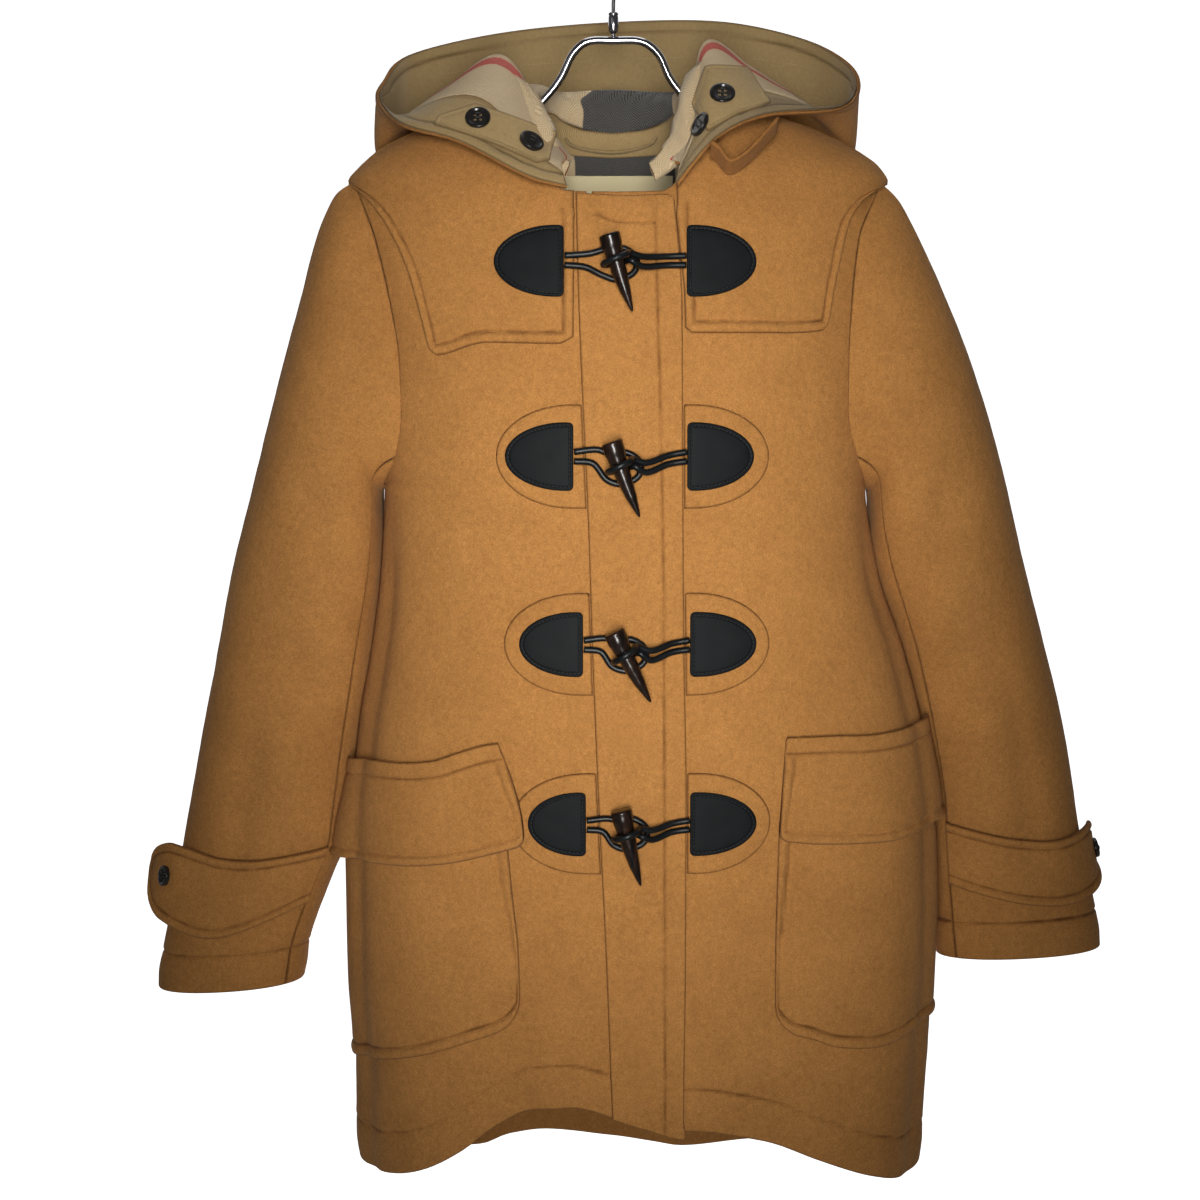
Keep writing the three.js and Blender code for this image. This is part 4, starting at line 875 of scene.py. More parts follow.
def add_front_yoke(side, node, seed):
    outer, low, inner = (curve(t) for t in YOKE_SHAPE[side])
    share = ruled(YOKE_WIDE, 2.6, dense=[(YOKE_INSET, 4, 0.8), (YOKE_WIDE - YOKE_INSET, 4, 0.8)])
    up = ruled(YOKE_TALL, 2.6, dense=[(YOKE_INSET, 4, 0.8)])
    level = mix(low(share)[None, :], YOKE_TOP, up[:, None])
    start = np.where(level > TIP_Z, SIDE_TURN, front_turn(side, side * outer(level), level))
    start = np.maximum(start, SIDE_TURN)
    stop = front_turn(side, inner(level), level)
    turn = mix(start, stop, share[None, :])
    points, normals = on_panel(side, turn, level)
    if side == LEFT:
        points, normals = points[:, ::-1], normals[:, ::-1]
    open_top = piece_stitches(points, ("left", "right", "low"), YOKE_INSET, seed)
    high = smooth(side_distances(points)["high"], 0, 3)
    relief = open_top * high + 0.3 * waves(points, 50, seed + 1)
    piece = shell(node, points, normals, YOKE, SEAM, camel, relief)


def add_back_yoke():
    edges = {
        RIGHT: curve([(-319, 153), (-285, 164), (-240, 176), (-215, 188), (-204, 199.5)]),
        LEFT: curve([(-319, 162), (-285, 173), (-240, 183), (-215, 195), (-204, 206.5)]),
    }
    low = curve([(0, -316), (0.04, -319), (0.5, -309), (0.96, -319), (1, -316)])
    share = ruled(BACK_YOKE_WIDE, 4.2, dense=[(YOKE_INSET, 4, 1.0), (BACK_YOKE_WIDE - YOKE_INSET, 4, 1.0)])
    up = ruled(BACK_YOKE_TALL, 3.4, dense=[(YOKE_INSET, 4, 1.0)])
    level = mix(low(share)[None, :], YOKE_TOP, up[:, None])
    start = np.where(level > TIP_Z, SIDE_TURN, angle_at(edges[LEFT](level), level, True))
    stop = np.where(level > TIP_Z, math.pi - SIDE_TURN, angle_at(-edges[RIGHT](level), level, True))
    points, normals = on_back(mix(start, stop, share[None, :]), level)
    relief = piece_stitches(points, ("left", "right", "low"), YOKE_INSET, 41)
    relief = relief * smooth(side_distances(points)["high"], 0, 12)
    piece = shell("yoke_back", points, normals, YOKE, SEAM, camel, relief)


def add_placket():
    share = ruled(72, 2.2, dense=[(56.5, 6, 0.8)], edge=(0.25, 0.7, 1.4, 2.4))
    up = ruled(700, 4.0, dense=[(678, 5, 1.0)])
    low = curve([(0, -906), (0.5, -915), (0.95, -922), (1, -919)])
    high = curve([(0, -216), (0.55, -218), (0.93, -217), (1, -221)])
    z = mix(low(share)[None, :], high(share)[None, :], up[:, None])
    x = mix(placket_right(z), placket_left(z), share[None, :])
    points = over(x, z)
    normals = body_normal(angle_at(x, z), z)
    seam_x = curve([(-220, 30), (-500, 36.5), (-922, 39)])(z)
    stitch = stitched(np.abs(x - seam_x), 0, points, 1.3, 1.2, 0.0, 51)
    top_seam = -238 + 9 * smooth(-x, -8, 27)
    facing = -1.2 * bump(z - top_seam, 1.2) * (x < seam_x) * (x > -27)
    facing = facing + 1.0 * bump(z - top_seam - 10, 7)
    swell = 0.5 * bump(x - seam_x - 6, 5) + 0.3 * waves(points, 40, 52)
    piece = shell("placket", points, normals, WOOL, SEAM, camel, stitch + facing + swell)


# Pockets and flaps, from their free inner edge round to the side seam
POCKET_SHAPE = {
    # inner edge (z, x), lower edge (x, z), top
    RIGHT: ([(-690, 79), (-740, 75), (-779, 72), (-870, 71.5)],
            [(72, -838), (92, -843), (140, -860), (189, -875), (215, -884)], -690),
    LEFT: ([(-680, 124), (-760, 124.5), (-870, 126)],
           [(125, -845), (144, -847), (171, -856), (199, -858), (242, -848), (262, -846)], -680),
}
POCKET_MIDDLE, FLAP_MIDDLE = -780.0, -665.0      # level of each, near enough to find its places across
POCKET_END, FLAP_END = 0.01, 0.06       # how far short of the side seam each ends, as an angle
POCKET_CORNER, FLAP_CORNER, FLAP_TOP_CORNER = 24, 7, 2
POCKET_WIDE, POCKET_TALL, FLAP_WIDE, FLAP_TALL = 150, 165, 140, 80
FLAP_LIFT = {RIGHT: 9.0, LEFT: 3.0}


def round_corner(away, radius):
    """How far an edge lifts at a rounded corner, by the distance from the corner's other edge."""
    inside = np.clip(radius - away, 0, radius)
    return radius - np.sqrt(radius ** 2 - inside ** 2)


def add_pocket(side, node, seed):
    inner_pairs, low_pairs, top = POCKET_SHAPE[side]
    inner, low = curve(inner_pairs), curve(low_pairs)
    share = ruled(POCKET_WIDE, 2.8, dense=[(POCKET_INSET, 5, 0.8)], edge=(0.2, 0.6, 1.3, 2.4, 4, 6, 8.5, 12))
    up = ruled(POCKET_TALL, 2.8, dense=[(POCKET_INSET, 5, 0.8)])
    guess = np.full((len(up), len(share)), POCKET_MIDDLE)
    first_turn = mix(front_turn(side, side * inner(guess), guess), POCKET_END, share[None, :])
    x = np.abs(body(front_angle(side, first_turn), guess)[..., 0])
    floor = low(x) + round_corner(x - x[:, :1], POCKET_CORNER)
    z = mix(floor, top, up[:, None])
    way = front_angle(side, mix(front_turn(side, side * inner(z), z), POCKET_END, share[None, :]))
    points, normals = body(way, z), body_normal(way, z)
    if side == RIGHT:
        points, normals = points[:, ::-1], normals[:, ::-1]
    free = WORD[side]
    relief = piece_stitches(points, (free, "low"), POCKET_INSET, seed)
    away = side_distances(points)
    sag = 2.4 * smooth(away["low"], 6, 60) * smooth(away[free], 6, 40) * smooth(away["high"], 0, 30)
    relief = relief + sag + 0.5 * waves(points, 45, seed + 1)
    piece = shell(node, points, normals, POCKET, SEAM, camel, relief, under=sag)


FLAP_SHAPE = {
    # inner edge (z, x), top edge (x, z), lower edge (x, z)
    RIGHT: ([(-622, 84), (-649, 74), (-677, 67), (-700, 65)],
            [(60, -618), (84, -622), (106, -628), (130, -635), (155, -638), (178, -639), (210, -646)],
            [(60, -693), (72, -697), (92, -703), (126, -712), (155, -716), (181, -718), (210, -724)]),
    LEFT: ([(-616, 127), (-650, 125), (-700, 123)],
           [(120, -616), (160, -616), (192, -617), (216, -616), (250, -612)],
           [(120, -693), (131, -695), (160, -698), (201, -699), (224, -696), (250, -691)]),
}


def add_flap(side, node, seed):
    inner, top, low = (curve(t) for t in FLAP_SHAPE[side])
    share = ruled(FLAP_WIDE, 2.6, dense=[(FLAP_INSET, 5, 0.8)], edge=(0.2, 0.6, 1.3, 2.4, 4, 6))
    up = ruled(FLAP_TALL, 2.2, dense=[(FLAP_INSET, 5, 0.8), (69, 4, 0.8)])
    guess = np.full((len(up), len(share)), FLAP_MIDDLE)
    first_turn = mix(front_turn(side, side * inner(guess), guess), FLAP_END, share[None, :])
    x = np.abs(body(front_angle(side, first_turn), guess)[..., 0])
    across = x - x[:, :1]
    floor = low(x) + round_corner(across, FLAP_CORNER)
    z = mix(floor, top(x) - round_corner(across, FLAP_TOP_CORNER), up[:, None])
    way = front_angle(side, mix(front_turn(side, side * inner(z), z), FLAP_END, share[None, :]))
    points, normals = body(way, z), body_normal(way, z)
    if side == RIGHT:
        points, normals = points[:, ::-1], normals[:, ::-1]
    free = WORD[side]
    other = WORD[-side]
    away = side_distances(points)
    near = np.minimum(away[free], away["low"])
    relief = stitched(near, FLAP_INSET, points, STITCH_DEPTH, 1.35, 1.3, seed)
    relief = relief * smooth(away["high"], 12, 18)
    relief = relief - STITCH_DEPTH * bump(away["high"] - 12.5, 1.2) + 0.7 * bump(away["high"] - 6, 5)
    hang = 1 - smooth(away["high"], 0, 85)
    lift = FLAP_LIFT[side] * (1 - hang) * (1 - smooth(away[other], 0, 55)) + 2.2 * (1 - hang)
    relief = relief + lift + 0.35 * waves(points, 40, seed + 1)
    piece = shell(node, points, normals, POCKET, SEAM + POCKET + SEAM, camel, relief, under=lift)


# Pieces with a free outline, drawn in front view and laid on the cloth
def even_outline(points, step):
    """An outline drawn again with even steps."""
    points = np.asarray(points, float)
    loop = np.concatenate([points, points[:1]])
    length = np.concatenate([[0], np.cumsum(np.linalg.norm(np.diff(loop, axis=0), axis=1))])
    marks = np.linspace(0, length[-1], int(length[-1] / step) + 1)[:-1]
    return np.stack([np.interp(marks, length, loop[:, k]) for k in range(2)], -1)


def outline_distance(points, loop):
    """Distance of each point from an outline, worked out for a batch of points at a time."""
    a, b = loop, np.roll(loop, -1, axis=0)
    batch = 2000
    parts = []
    for start in range(0, len(points), batch):
        p = points[start:start + batch, None, :]
        t = np.clip(np.sum((p - a) * (b - a), -1) / np.sum((b - a) ** 2, -1), 0, 1)
        nearest = a + (b - a) * t[..., None]
        parts.append(np.min(np.linalg.norm(p - nearest, axis=-1), axis=1))
    return np.concatenate(parts)


def inset_loop(loop, distance):
    """An outline moved inwards."""
    turn = np.sum((np.roll(loop, -1, 0) - loop)[:, 0] * (np.roll(loop, -1, 0) + loop)[:, 1])
    way = np.roll(loop, -1, 0) - np.roll(loop, 1, 0)
    normal = unit(np.stack([-way[:, 1], way[:, 0]], -1)) * (1 if turn < 0 else -1)
    return loop + normal * distance


def cut_flat(loop, insets, step):
    """Triangles that fill an outline, closer along its edge: points, faces and distances from the edge."""
    rings = [loop]
    for d in insets:
        ring = inset_loop(loop, d)
        rings.append(ring[outline_distance(ring, loop) > d * 0.93])
    last = insets[-1]
    low, high = loop.min(0), loop.max(0)
    xs, ys = np.arange(low[0], high[0], step), np.arange(low[1], high[1], step * 0.87)
    grid = np.array([(x + (k % 2) * step / 2, y) for k, y in enumerate(ys) for x in xs])
    inside = np.zeros(len(grid), bool)
    a, b = loop, np.roll(loop, -1, 0)
    for (ax, ay), (bx, by) in zip(a, b):
        crosses = (ay > grid[:, 1]) != (by > grid[:, 1])
        if crosses.any():
            inside ^= crosses & (grid[:, 0] < (bx - ax) * (grid[:, 1] - ay) / (by - ay + 1e-12) + ax)
    grid = grid[inside]
    grid = grid[outline_distance(grid, loop) > last + step * 0.45]
    every = np.concatenate(rings + [grid])
    count = len(loop)
    edges = [(i, (i + 1) % count) for i in range(count)]
    points, _, faces, _, _, _ = delaunay_2d_cdt([Vector(p) for p in every], edges, [], 1, 1e-4)
    points = np.array([tuple(p) for p in points])
    away = outline_distance(points, loop)
    rim = away < 1e-3
    away[rim] = 0
    return points, [list(f) for f in faces], away


def laid_piece(node, loop, place, base, thick, finish, insets, step, relief, roundness=None):
    """A flat piece laid on cloth; place gives points and outward directions for x, z."""
    points, faces, away = cut_flat(loop, insets, step)
    origin, normals = place(points[:, 0], points[:, 1])
    radius = thick / 2
    round_in = radius if roundness is None else roundness
    deep = np.clip(away / round_in, 0, 1)
    bulge = radius * np.sqrt(np.maximum(1 - (1 - deep) ** 2, 0))
    shape = relief(away, origin)
    soft = np.minimum(away / 1.5, 1)
    outer = origin + normals * (base + radius + bulge + shape * soft)[:, None]
    inner = origin + normals * (base + radius - bulge)[:, None]
    count = len(points)
    other = np.arange(count)
    inside = away > 0
    other[inside] = count + np.arange(inside.sum())
    every = np.concatenate([outer, inner[inside]])
    uv = np.concatenate([points, points[inside]])
    ordered = []
    for face in faces:
        a, b, c = (outer[i] for i in face[:3])
        if np.dot(np.cross(b - a, c - a), normals[face[0]]) < 0:
            face = face[::-1]
        ordered.append(face)
    back = [[int(other[i]) for i in face[::-1]] for face in ordered]
    back = [f for f, g in zip(back, ordered) if set(f) != set(g)]
    piece = link_mesh(node, every, ordered + back, uv, finish, node)
    # Painted shade: darker in stitched grooves and near the piece's edge
    sunk = np.clip(-shape * soft * 1.6, 0, 0.85)
    shade = np.maximum(sunk, 0.8 * (1 - smooth(away, 0.3, 1.9)))
    mark_painted_shade(piece, np.concatenate([shade, shade[inside]]))
    return piece


def on_front(x, z):
    """Point and outward direction on the coat's front at x, z."""
    angle = angle_at(x, z)
    return body(angle, z), body_normal(angle, z)


def d_loop(flat_x, side, long, low, high, step, flat_low=None, corner=0.0):
    """A letter D with its flat side at flat_x, the flat side's two corners rounded."""
    flat_low = flat_x if flat_low is None else flat_low
    start = flat_x + side * long * 0.12
    middle, tall = (low + high) / 2, (high - low) / 2
    bow = [(start + side * long * 0.88 * math.cos(t), middle + tall * math.sin(t))
           for t in np.linspace(-math.pi / 2, math.pi / 2, 60)]
    if not corner:
        return even_outline([(flat_low, low)] + bow + [(flat_x, high)], step)
    turns = np.linspace(0, math.pi / 2, 6)
    first = [(flat_low + side * corner * (1 - math.cos(t)), low + corner * (1 - math.sin(t))) for t in turns]
    last = [(flat_x + side * corner * (1 - math.sin(t)), high - corner * (1 - math.cos(t))) for t in turns]
    return even_outline(first + bow + last, step)


# Curves through points in space, and round cords along them
def through(points, t, centripetal=True):
    """The point at t (0 to 1) of a spline through the first axis of points."""
    last = len(points) - 1
    place = min(max(t, 0.0), 1.0) * last
    i = min(int(place), last - 1)
    w = place - i
    p1, p2 = points[i], points[i + 1]
    p0 = points[i - 1] if i > 0 else 2 * points[0] - points[1]
    p3 = points[i + 2] if i + 2 <= last else 2 * points[last] - points[last - 1]
    if centripetal:
        def gap(a, b):
            return np.maximum(np.sum((a - b) ** 2, -1, keepdims=True), 1e-8) ** 0.25
        d0, d1, d2 = gap(p0, p1), gap(p1, p2), gap(p2, p3)
        m1 = ((p1 - p0) / d0 - (p2 - p0) / (d0 + d1) + (p2 - p1) / d1) * d1
        m2 = ((p2 - p1) / d1 - (p3 - p1) / (d1 + d2) + (p3 - p2) / d2) * d1
    else:
        m1, m2 = 0.5 * (p2 - p0), 0.5 * (p3 - p1)
    w2, w3 = w * w, w * w * w
    return ((2 * w3 - 3 * w2 + 1) * p1 + (w3 - 2 * w2 + w) * m1 + (3 * w2 - 2 * w3) * p2 + (w3 - w2) * m2)


def path_of(points, count):
    points = np.asarray(points, float)
    return np.array([through(points, t) for t in np.linspace(0, 1, count)])


def tube(path, radius, sides, radii=None, flat=1.0):
    """Points, faces and uv of a round bar along a path, both ends closed."""
    path = np.asarray(path, float)
    ahead = unit(np.gradient(path, axis=0))
    not_ahead = (0.31, 0.2, 0.93)
    normal = np.cross(ahead[0], not_ahead)
    normal = normal / np.linalg.norm(normal)
    rows = []
    length = np.concatenate([[0], np.cumsum(np.linalg.norm(np.diff(path, axis=0), axis=1))])
    turns = np.arange(sides) / sides * 2 * math.pi
    for k, centre in enumerate(path):
        normal = normal - ahead[k] * np.dot(normal, ahead[k])
        normal = normal / np.linalg.norm(normal)
        side = np.cross(ahead[k], normal)
        r = radius if radii is None else radii[k]
        circle = np.cos(turns)[:, None] * normal + flat * np.sin(turns)[:, None] * side
        rows.append(centre + r * circle)
    points = np.concatenate(rows + [path[:1], path[-1:]])
    faces = []
    for k in range(len(path) - 1):
        for j in range(sides):
            a, b = k * sides + j, k * sides + (j + 1) % sides
            faces.append([a, b, b + sides, a + sides])
    first, last = len(points) - 2, len(points) - 1
    top = (len(path) - 1) * sides
    faces += [[first, (j + 1) % sides, j] for j in range(sides)]
    faces += [[last, top + j, top + (j + 1) % sides] for j in range(sides)]
    uv = [(length[k], turns[j] * radius) for k in range(len(path)) for j in range(sides)]
    return points, faces, np.array(uv + [(0, 0), (length[-1], 0)])


def joined(parts):
    """Points, faces and uv of several parts as one."""
    points, faces, uv, start = [], [], [], 0
    for p, f, u in parts:
        points.append(p)
        faces += [[i + start for i in face] for face in f]
        uv.append(u)
        start += len(p)
    return np.concatenate(points), faces, np.concatenate(uv)


STITCH = [
    # share of its length, height and girth, both in radii of the thread
    (0, -0.35, 0.5), (0.18, 0.75, 0.95), (0.5, 1, 1), (0.82, 0.75, 0.95), (1, -0.35, 0.5),
]
STITCH_RISE = 0.12


def thread_run(line, normals, length, gap, radius):
    """Stitches along a line of points in space, each a small bar sunk at its ends."""
    step = np.linalg.norm(np.diff(line, axis=0), axis=1)
    total = np.concatenate([[0], np.cumsum(step)])
    along, high, girth = np.array(STITCH).T
    parts = []
    for start in np.arange(0, total[-1] - length, length + gap):
        marks = start + along * length
        centre = np.stack([np.interp(marks, total, line[:, k]) for k in range(3)], -1)
        way = np.stack([np.interp(marks, total, normals[:, k]) for k in range(3)], -1)
        height = high * radius + STITCH_RISE
        parts.append(tube(centre + way * height[:, None], radius, 5, radii=radius * girth))
    return parts


# Fastenings: leather patches on wool patches, leather cords and horns
TOGGLES = [
    # right patch edge, its length, left patch edge, its length, low, high, horn x, horn z, lean
    (-36.5, 51, 53, 51, -292, -240, 2, -268, 16.5),
    (-29.5, 50, 53.5, 49, -433, -383, 5, -416, 20),
    (-22.5, 47, 56, 49, -570, -522, 9, -553, 27),
    (-20.5, 43, 56.5, 50, -704, -656, 10, -686, 14),
]
WOOL_PATCH_HALF, WOOL_PATCH_LONG = 38, 63
CORD = 2.1                      # radius of a cord's solid
CORD_SHOWN = CORD * 1.16        # the cords show a little thicker than their solids
CORD_SPREAD = 3.4               # half the space between a cord's two ends at its patch
RING_REACH, RING_RISE = 10.0, 2.9       # radius of a cord's ring round its horn, and half its climb
RING_TURNS = 8                          # places on that ring
HORN_HEIGHT = 16.4                      # height of a horn's middle over the cloth
HORN = [
    # along the horn from its middle, radius
    (-20, 6.6), (-19.6, 7.4), (-18.6, 7.9), (-12, 7.6), (0, 6), (12, 5.4), (24, 3.8), (34, 1.9), (37.6, 0.9),
    (38.4, 0.5),
]
leather_threads, twill_threads, dark_threads = [], [], []


def add_wool_patch(node, row, side, middle):
    """A D of coat cloth that carries the leather patch of a lower fastening."""
    edge = placket_right if side == RIGHT else placket_left
    bottom, top = middle - WOOL_PATCH_HALF, middle + WOOL_PATCH_HALF
    past = side * 2 * SEAM
    flat_high, flat_low = float(edge(top)) + past, float(edge(bottom)) + past
    loop = d_loop(flat_high, side, WOOL_PATCH_LONG, bottom, top, 1.6, flat_low)

    def relief(away, at):
        return 0.9 * smooth(away, 0, 7) + 0.15 * waves(at, 25, row)
    piece = laid_piece(node, loop, on_front, SEAM, BACKING, camel, (0.3, 0.9, 1.8, 2.6, 3.4, 5), 3.2, relief)


def add_patches(row, data):
    flat_right, long_right, flat_left, long_left, low, high = data[:6]

    def relief(away, at):
        rim = 0.22 * smooth(away, 0.5, 1.4) - 0.42 * bump(away - 2.7, 0.55)
        return rim + 0.28 * bump(away - 12, 9) + 0.05 * waves(at, 9, 60 + row)
    for side, flat, long in ((RIGHT, flat_right, long_right), (LEFT, flat_left, long_left)):
        base = SEAM + YOKE + SEAM
        if row > 1:
            add_wool_patch(f"wool_patch_{row}_{WORD[side]}", row, side, (low + high) / 2)
            base = SEAM + BACKING + SEAM
        loop = d_loop(flat, side, long, low, high, 0.9, corner=3.6)
        laid_piece(f"leather_patch_{row}_{WORD[side]}", loop, on_front, base, LEATHER, black_leather,
                   (0.15, 0.4, 0.8, 1.4, 1.9, 2.3, 2.7, 3.1, 3.6, 4.6), 2.2, relief, roundness=0.7)
        seam = inset_loop(loop, 2.7)
        seam = np.concatenate([seam, seam[:1]])
        spot, way = on_front(seam[:, 0], seam[:, 1])
        leather_threads.extend(thread_run(spot + way * (base + LEATHER - 0.28), way, 2.3, 0.7, 0.3))


def model_horn():
    """A toggle of horn, its thick end up and its tip down, extruded ring by ring from one disc."""
    along = np.array([a for a, _ in HORN])
    radius = np.array([r for _, r in HORN])
    fine = np.concatenate([along[:3], np.linspace(-18, 36.5, 34), along[-2:]])
    dents = 1 + 0.02 * np.sin(fine * 0.35) + 0.012 * np.sin(fine * 0.9)
    wide = np.interp(fine, along, radius) * dents
    bend = 0.0009 * (fine - 4) ** 2 - 0.5
    bpy.ops.object.select_all(action="DESELECT")
    bpy.ops.mesh.primitive_circle_add(vertices=28, radius=wide[0] * MM, fill_type="NGON",
                                      location=(bend[0] * MM, 0, -fine[0] * MM))
    piece = bpy.context.active_object
    bpy.ops.object.transform_apply(location=True, rotation=False, scale=False)
    bpy.ops.object.mode_set(mode="EDIT")
    bpy.ops.mesh.select_all(action="SELECT")
    for k in range(1, len(fine)):
        step = (MM * (bend[k] - bend[k - 1]), 0, -MM * (fine[k] - fine[k - 1]))
        bpy.ops.mesh.extrude_region_move(TRANSFORM_OT_translate={"value": step})
        grow = wide[k] / wide[k - 1]
        bpy.ops.transform.resize(value=(grow, grow, 1), center_override=(bend[k] * MM, 0, -fine[k] * MM))
    bpy.ops.mesh.select_all(action="SELECT")
    bpy.ops.mesh.normals_make_consistent(inside=False)
    bpy.ops.object.mode_set(mode="OBJECT")
    return piece


def set_copy(pattern, node, spot, turn, finish, angle):
    """A copy of a modelled piece with its own mesh, turned and put in its place in millimetres."""
    mesh = pattern.data.copy()
    piece = bpy.data.objects.new(f"finished_{node}", mesh)
    bpy.context.scene.collection.objects.link(piece)
    place = turn.to_4x4()
    place.translation = Vector(np.asarray(spot) * MM)
    mesh.transform(place)
    mesh.materials.clear()
    mesh.materials.append(finish)
    bpy.ops.object.select_all(action="DESELECT")
    piece.select_set(True)
    bpy.context.view_layer.objects.active = piece
    bpy.ops.object.shade_smooth_by_angle(angle=angle * DEG)
    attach(piece, "root")
    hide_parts(node)


def add_fastening(row, data, pattern):
    flat_right, _, flat_left, _, low, high, x, z, lean = data
    middle = (low + high) / 2
    add_patches(row, data)
    height = SEAM + WOOL + SEAM + CORD + 0.2
    start, end = flat_right + 2 * SEAM, flat_left - 2 * SEAM

    def at(px, pz, h):
        return over(np.array(float(px)), np.array(float(pz)), h)
    loop = [
        at(start, middle + CORD_SPREAD, height), at(mix(start, x, 0.5), middle + 5, height),
        at(x - 8, z + 10, height), at(x + 4, z + 11, height), at(x + 14, z + 4, height),
        at(x + 13, z - 6, height), at(x + 1, z - 12, height), at(x - 10, z - 9, height),
        at(mix(start, x, 0.4), middle - 5, height), at(start, middle - CORD_SPREAD, height),
    ]
    points, faces, uv = tube(path_of(loop, 110), CORD_SHOWN, 12)
    link_mesh(f"loop_cord_{row}", points, faces, uv, cord_leather, f"loop_cord_{row}")
    axis = np.array([math.sin(lean * DEG), 0, -math.cos(lean * DEG)])
    across = np.array([math.cos(lean * DEG), 0, math.sin(lean * DEG)])
    heart = at(x, z, HORN_HEIGHT)
    leaning = Matrix((across, np.cross(-axis, across), -axis)).transposed()
    set_copy(pattern, f"horn_{row}", heart, leaning, horn, 40)
    ring = []
    for k in range(RING_TURNS + 1):
        turn = 2 * math.pi * k / RING_TURNS
        rise = mix(-RING_RISE, RING_RISE, k / RING_TURNS)
        p = heart + across * RING_REACH * math.cos(turn) + axis * rise
        p[1] -= RING_REACH * math.sin(turn)
        ring.append(p)
    lift = HORN_HEIGHT - 3.5
    turn_x, turn_z = mix(x, end, 0.72), mix(z, middle, 0.7)
    there = [at(end, middle + CORD_SPREAD, height), at(turn_x, turn_z + 3.2, height + 1),
             at(x + 18, z + 3.5, lift)]
    back = [at(x + 18, z - 3.5, lift), at(turn_x, turn_z - 3.2, height + 1),
            at(end, middle - CORD_SPREAD, height)]
    points, faces, uv = tube(path_of(there + ring + back, 150), CORD_SHOWN, 12)
    link_mesh(f"ring_cord_{row}", points, faces, uv, cord_leather, f"ring_cord_{row}")


# Sleeves
SLEEVE = {
    RIGHT: columns([
        # s, outer x, outer z, inner x, inner z, middle y, depth
        (0, -200, -203, -178, -432, 0, 50), (0.05, -214, -212, -182, -439, 0, 54),
        (0.1, -227, -238, -182, -452, 1, 57), (0.18, -241, -291, -181.5, -476, 3, 59),
        (0.28, -258, -352, -183, -508, 5, 60), (0.4, -279, -430, -188, -545, 8, 59),
        (0.52, -299, -508, -195.5, -590, 11, 56), (0.65, -317, -598, -204.5, -650, 13, 52),
        (0.78, -334, -683, -208.5, -708, 13, 47), (0.87, -345, -739, -223, -745, 12, 42),
        (0.95, -358, -804, -242, -797, 10, 38), (1, -362, -833, -247, -826, 9, 36),
    ]),
    LEFT: columns([
        (0, 207, -203, 196, -432, 0, 50), (0.05, 221, -216, 201, -438, 1, 54),
        (0.1, 236, -243, 203, -451, 2, 57), (0.18, 257, -291, 204, -476, 5, 59),
        (0.28, 281, -352, 209, -505, 9, 60), (0.4, 305, -430, 220.5, -540, 15, 59),
        (0.52, 326, -508, 234, -582, 21, 56), (0.65, 351, -598, 245.5, -635, 27, 52),
        (0.78, 368, -676, 251, -690, 31, 47), (0.87, 378, -728, 254, -736, 32, 42),
        (0.95, 389, -776, 258, -786, 31, 38), (1, 393, -805, 261, -812, 30, 36),
    ]),
}
SLEEVE_ROUND = 2.15     # how square a sleeve's sections are
SLEEVE_GAP = -1.2       # how far its head stands out from the armhole's edge
SLEEVE_NEAR = 4.0       # how much nearer the body its inner line lies than in the table
SLEEVE_FOLDS = [
    # s, turn, long, wide, depth
    (0.34, 95, 0.05, 30, -4), (0.46, 120, 0.05, 35, 4), (0.56, 110, 0.05, 40, -5), (0.66, 100, 0.05, 35, 4),
    (0.75, 75, 0.13, 12, -5), (0.4, 270, 0.06, 35, -4), (0.55, 255, 0.06, 35, 4), (0.66, 265, 0.06, 35, -5),
]


def armhole_point(side, turn):
    """Point on the armhole's edge, from its top round the front."""
    top, low = TIP_Z + 1, ARMPIT_Z - 1
    z = (top + low) / 2 + (top - low) / 2 * np.cos(turn)
    back = np.sin(turn) < 0
    level = np.clip(z, ARMPIT_Z + 0.5, TIP_Z - 0.5)
    cut = np.where(back, arm_cut(side, True, level), arm_cut(side, False, level))
    if side == RIGHT:
        return body(np.where(back, math.pi - cut, math.pi + cut), z)
    return body(np.where(back, cut, 2 * math.pi - cut), z)


def sleeve_point(side, turn, s):
    """Point on a sleeve: turn goes round from its outer line by the front, s from its head to its cuff."""
    out_x, out_z, in_x, in_z, mid_y, deep = SLEEVE[side]
    turn = turn % (2 * math.pi)
    c, d = np.cos(turn), np.sin(turn)
    g = (np.abs(c) ** SLEEVE_ROUND + np.abs(d) ** SLEEVE_ROUND) ** (-1 / SLEEVE_ROUND)

    def section(at):
        out = np.stack([out_x(at), 0 * at, out_z(at)], -1)
        near_body = SLEEVE_NEAR * smooth(at, 0.0, 0.03) * (1 - smooth(at, 0.62, 0.78))
        inn = np.stack([in_x(at) - side * near_body, 0 * at, in_z(at)], -1)
        p = (out + inn) / 2 + (out - inn) * (0.5 * c * g)[..., None]
        grow = 0.0
        for fold_s, fold_turn, long, wide, depth in SLEEVE_FOLDS:
            grow = grow + depth * bump(at - fold_s, long) * bump(turn / DEG - fold_turn, wide)
        p[..., 1] = mid_y(at) - (deep(at) + grow) * d * g
        return p
    start = armhole_point(side, turn)
    start[..., 0] += side * SLEEVE_GAP * (1 + ((1 - np.cos(turn)) / 2) ** 2)
    high = ((1 + np.cos(turn)) / 2) ** 0.7
    rest = 1 - smooth(s, 0, mix(0.045, 0.26, high))
    return section(s) + (start - section(0 * s)) * rest[..., None]


def grid_normals(points):
    """Outward directions of a grid, from the lines through each point."""
    du = np.gradient(points, axis=1)
    dv = np.gradient(points, axis=0)
    return unit(np.cross(du, dv))


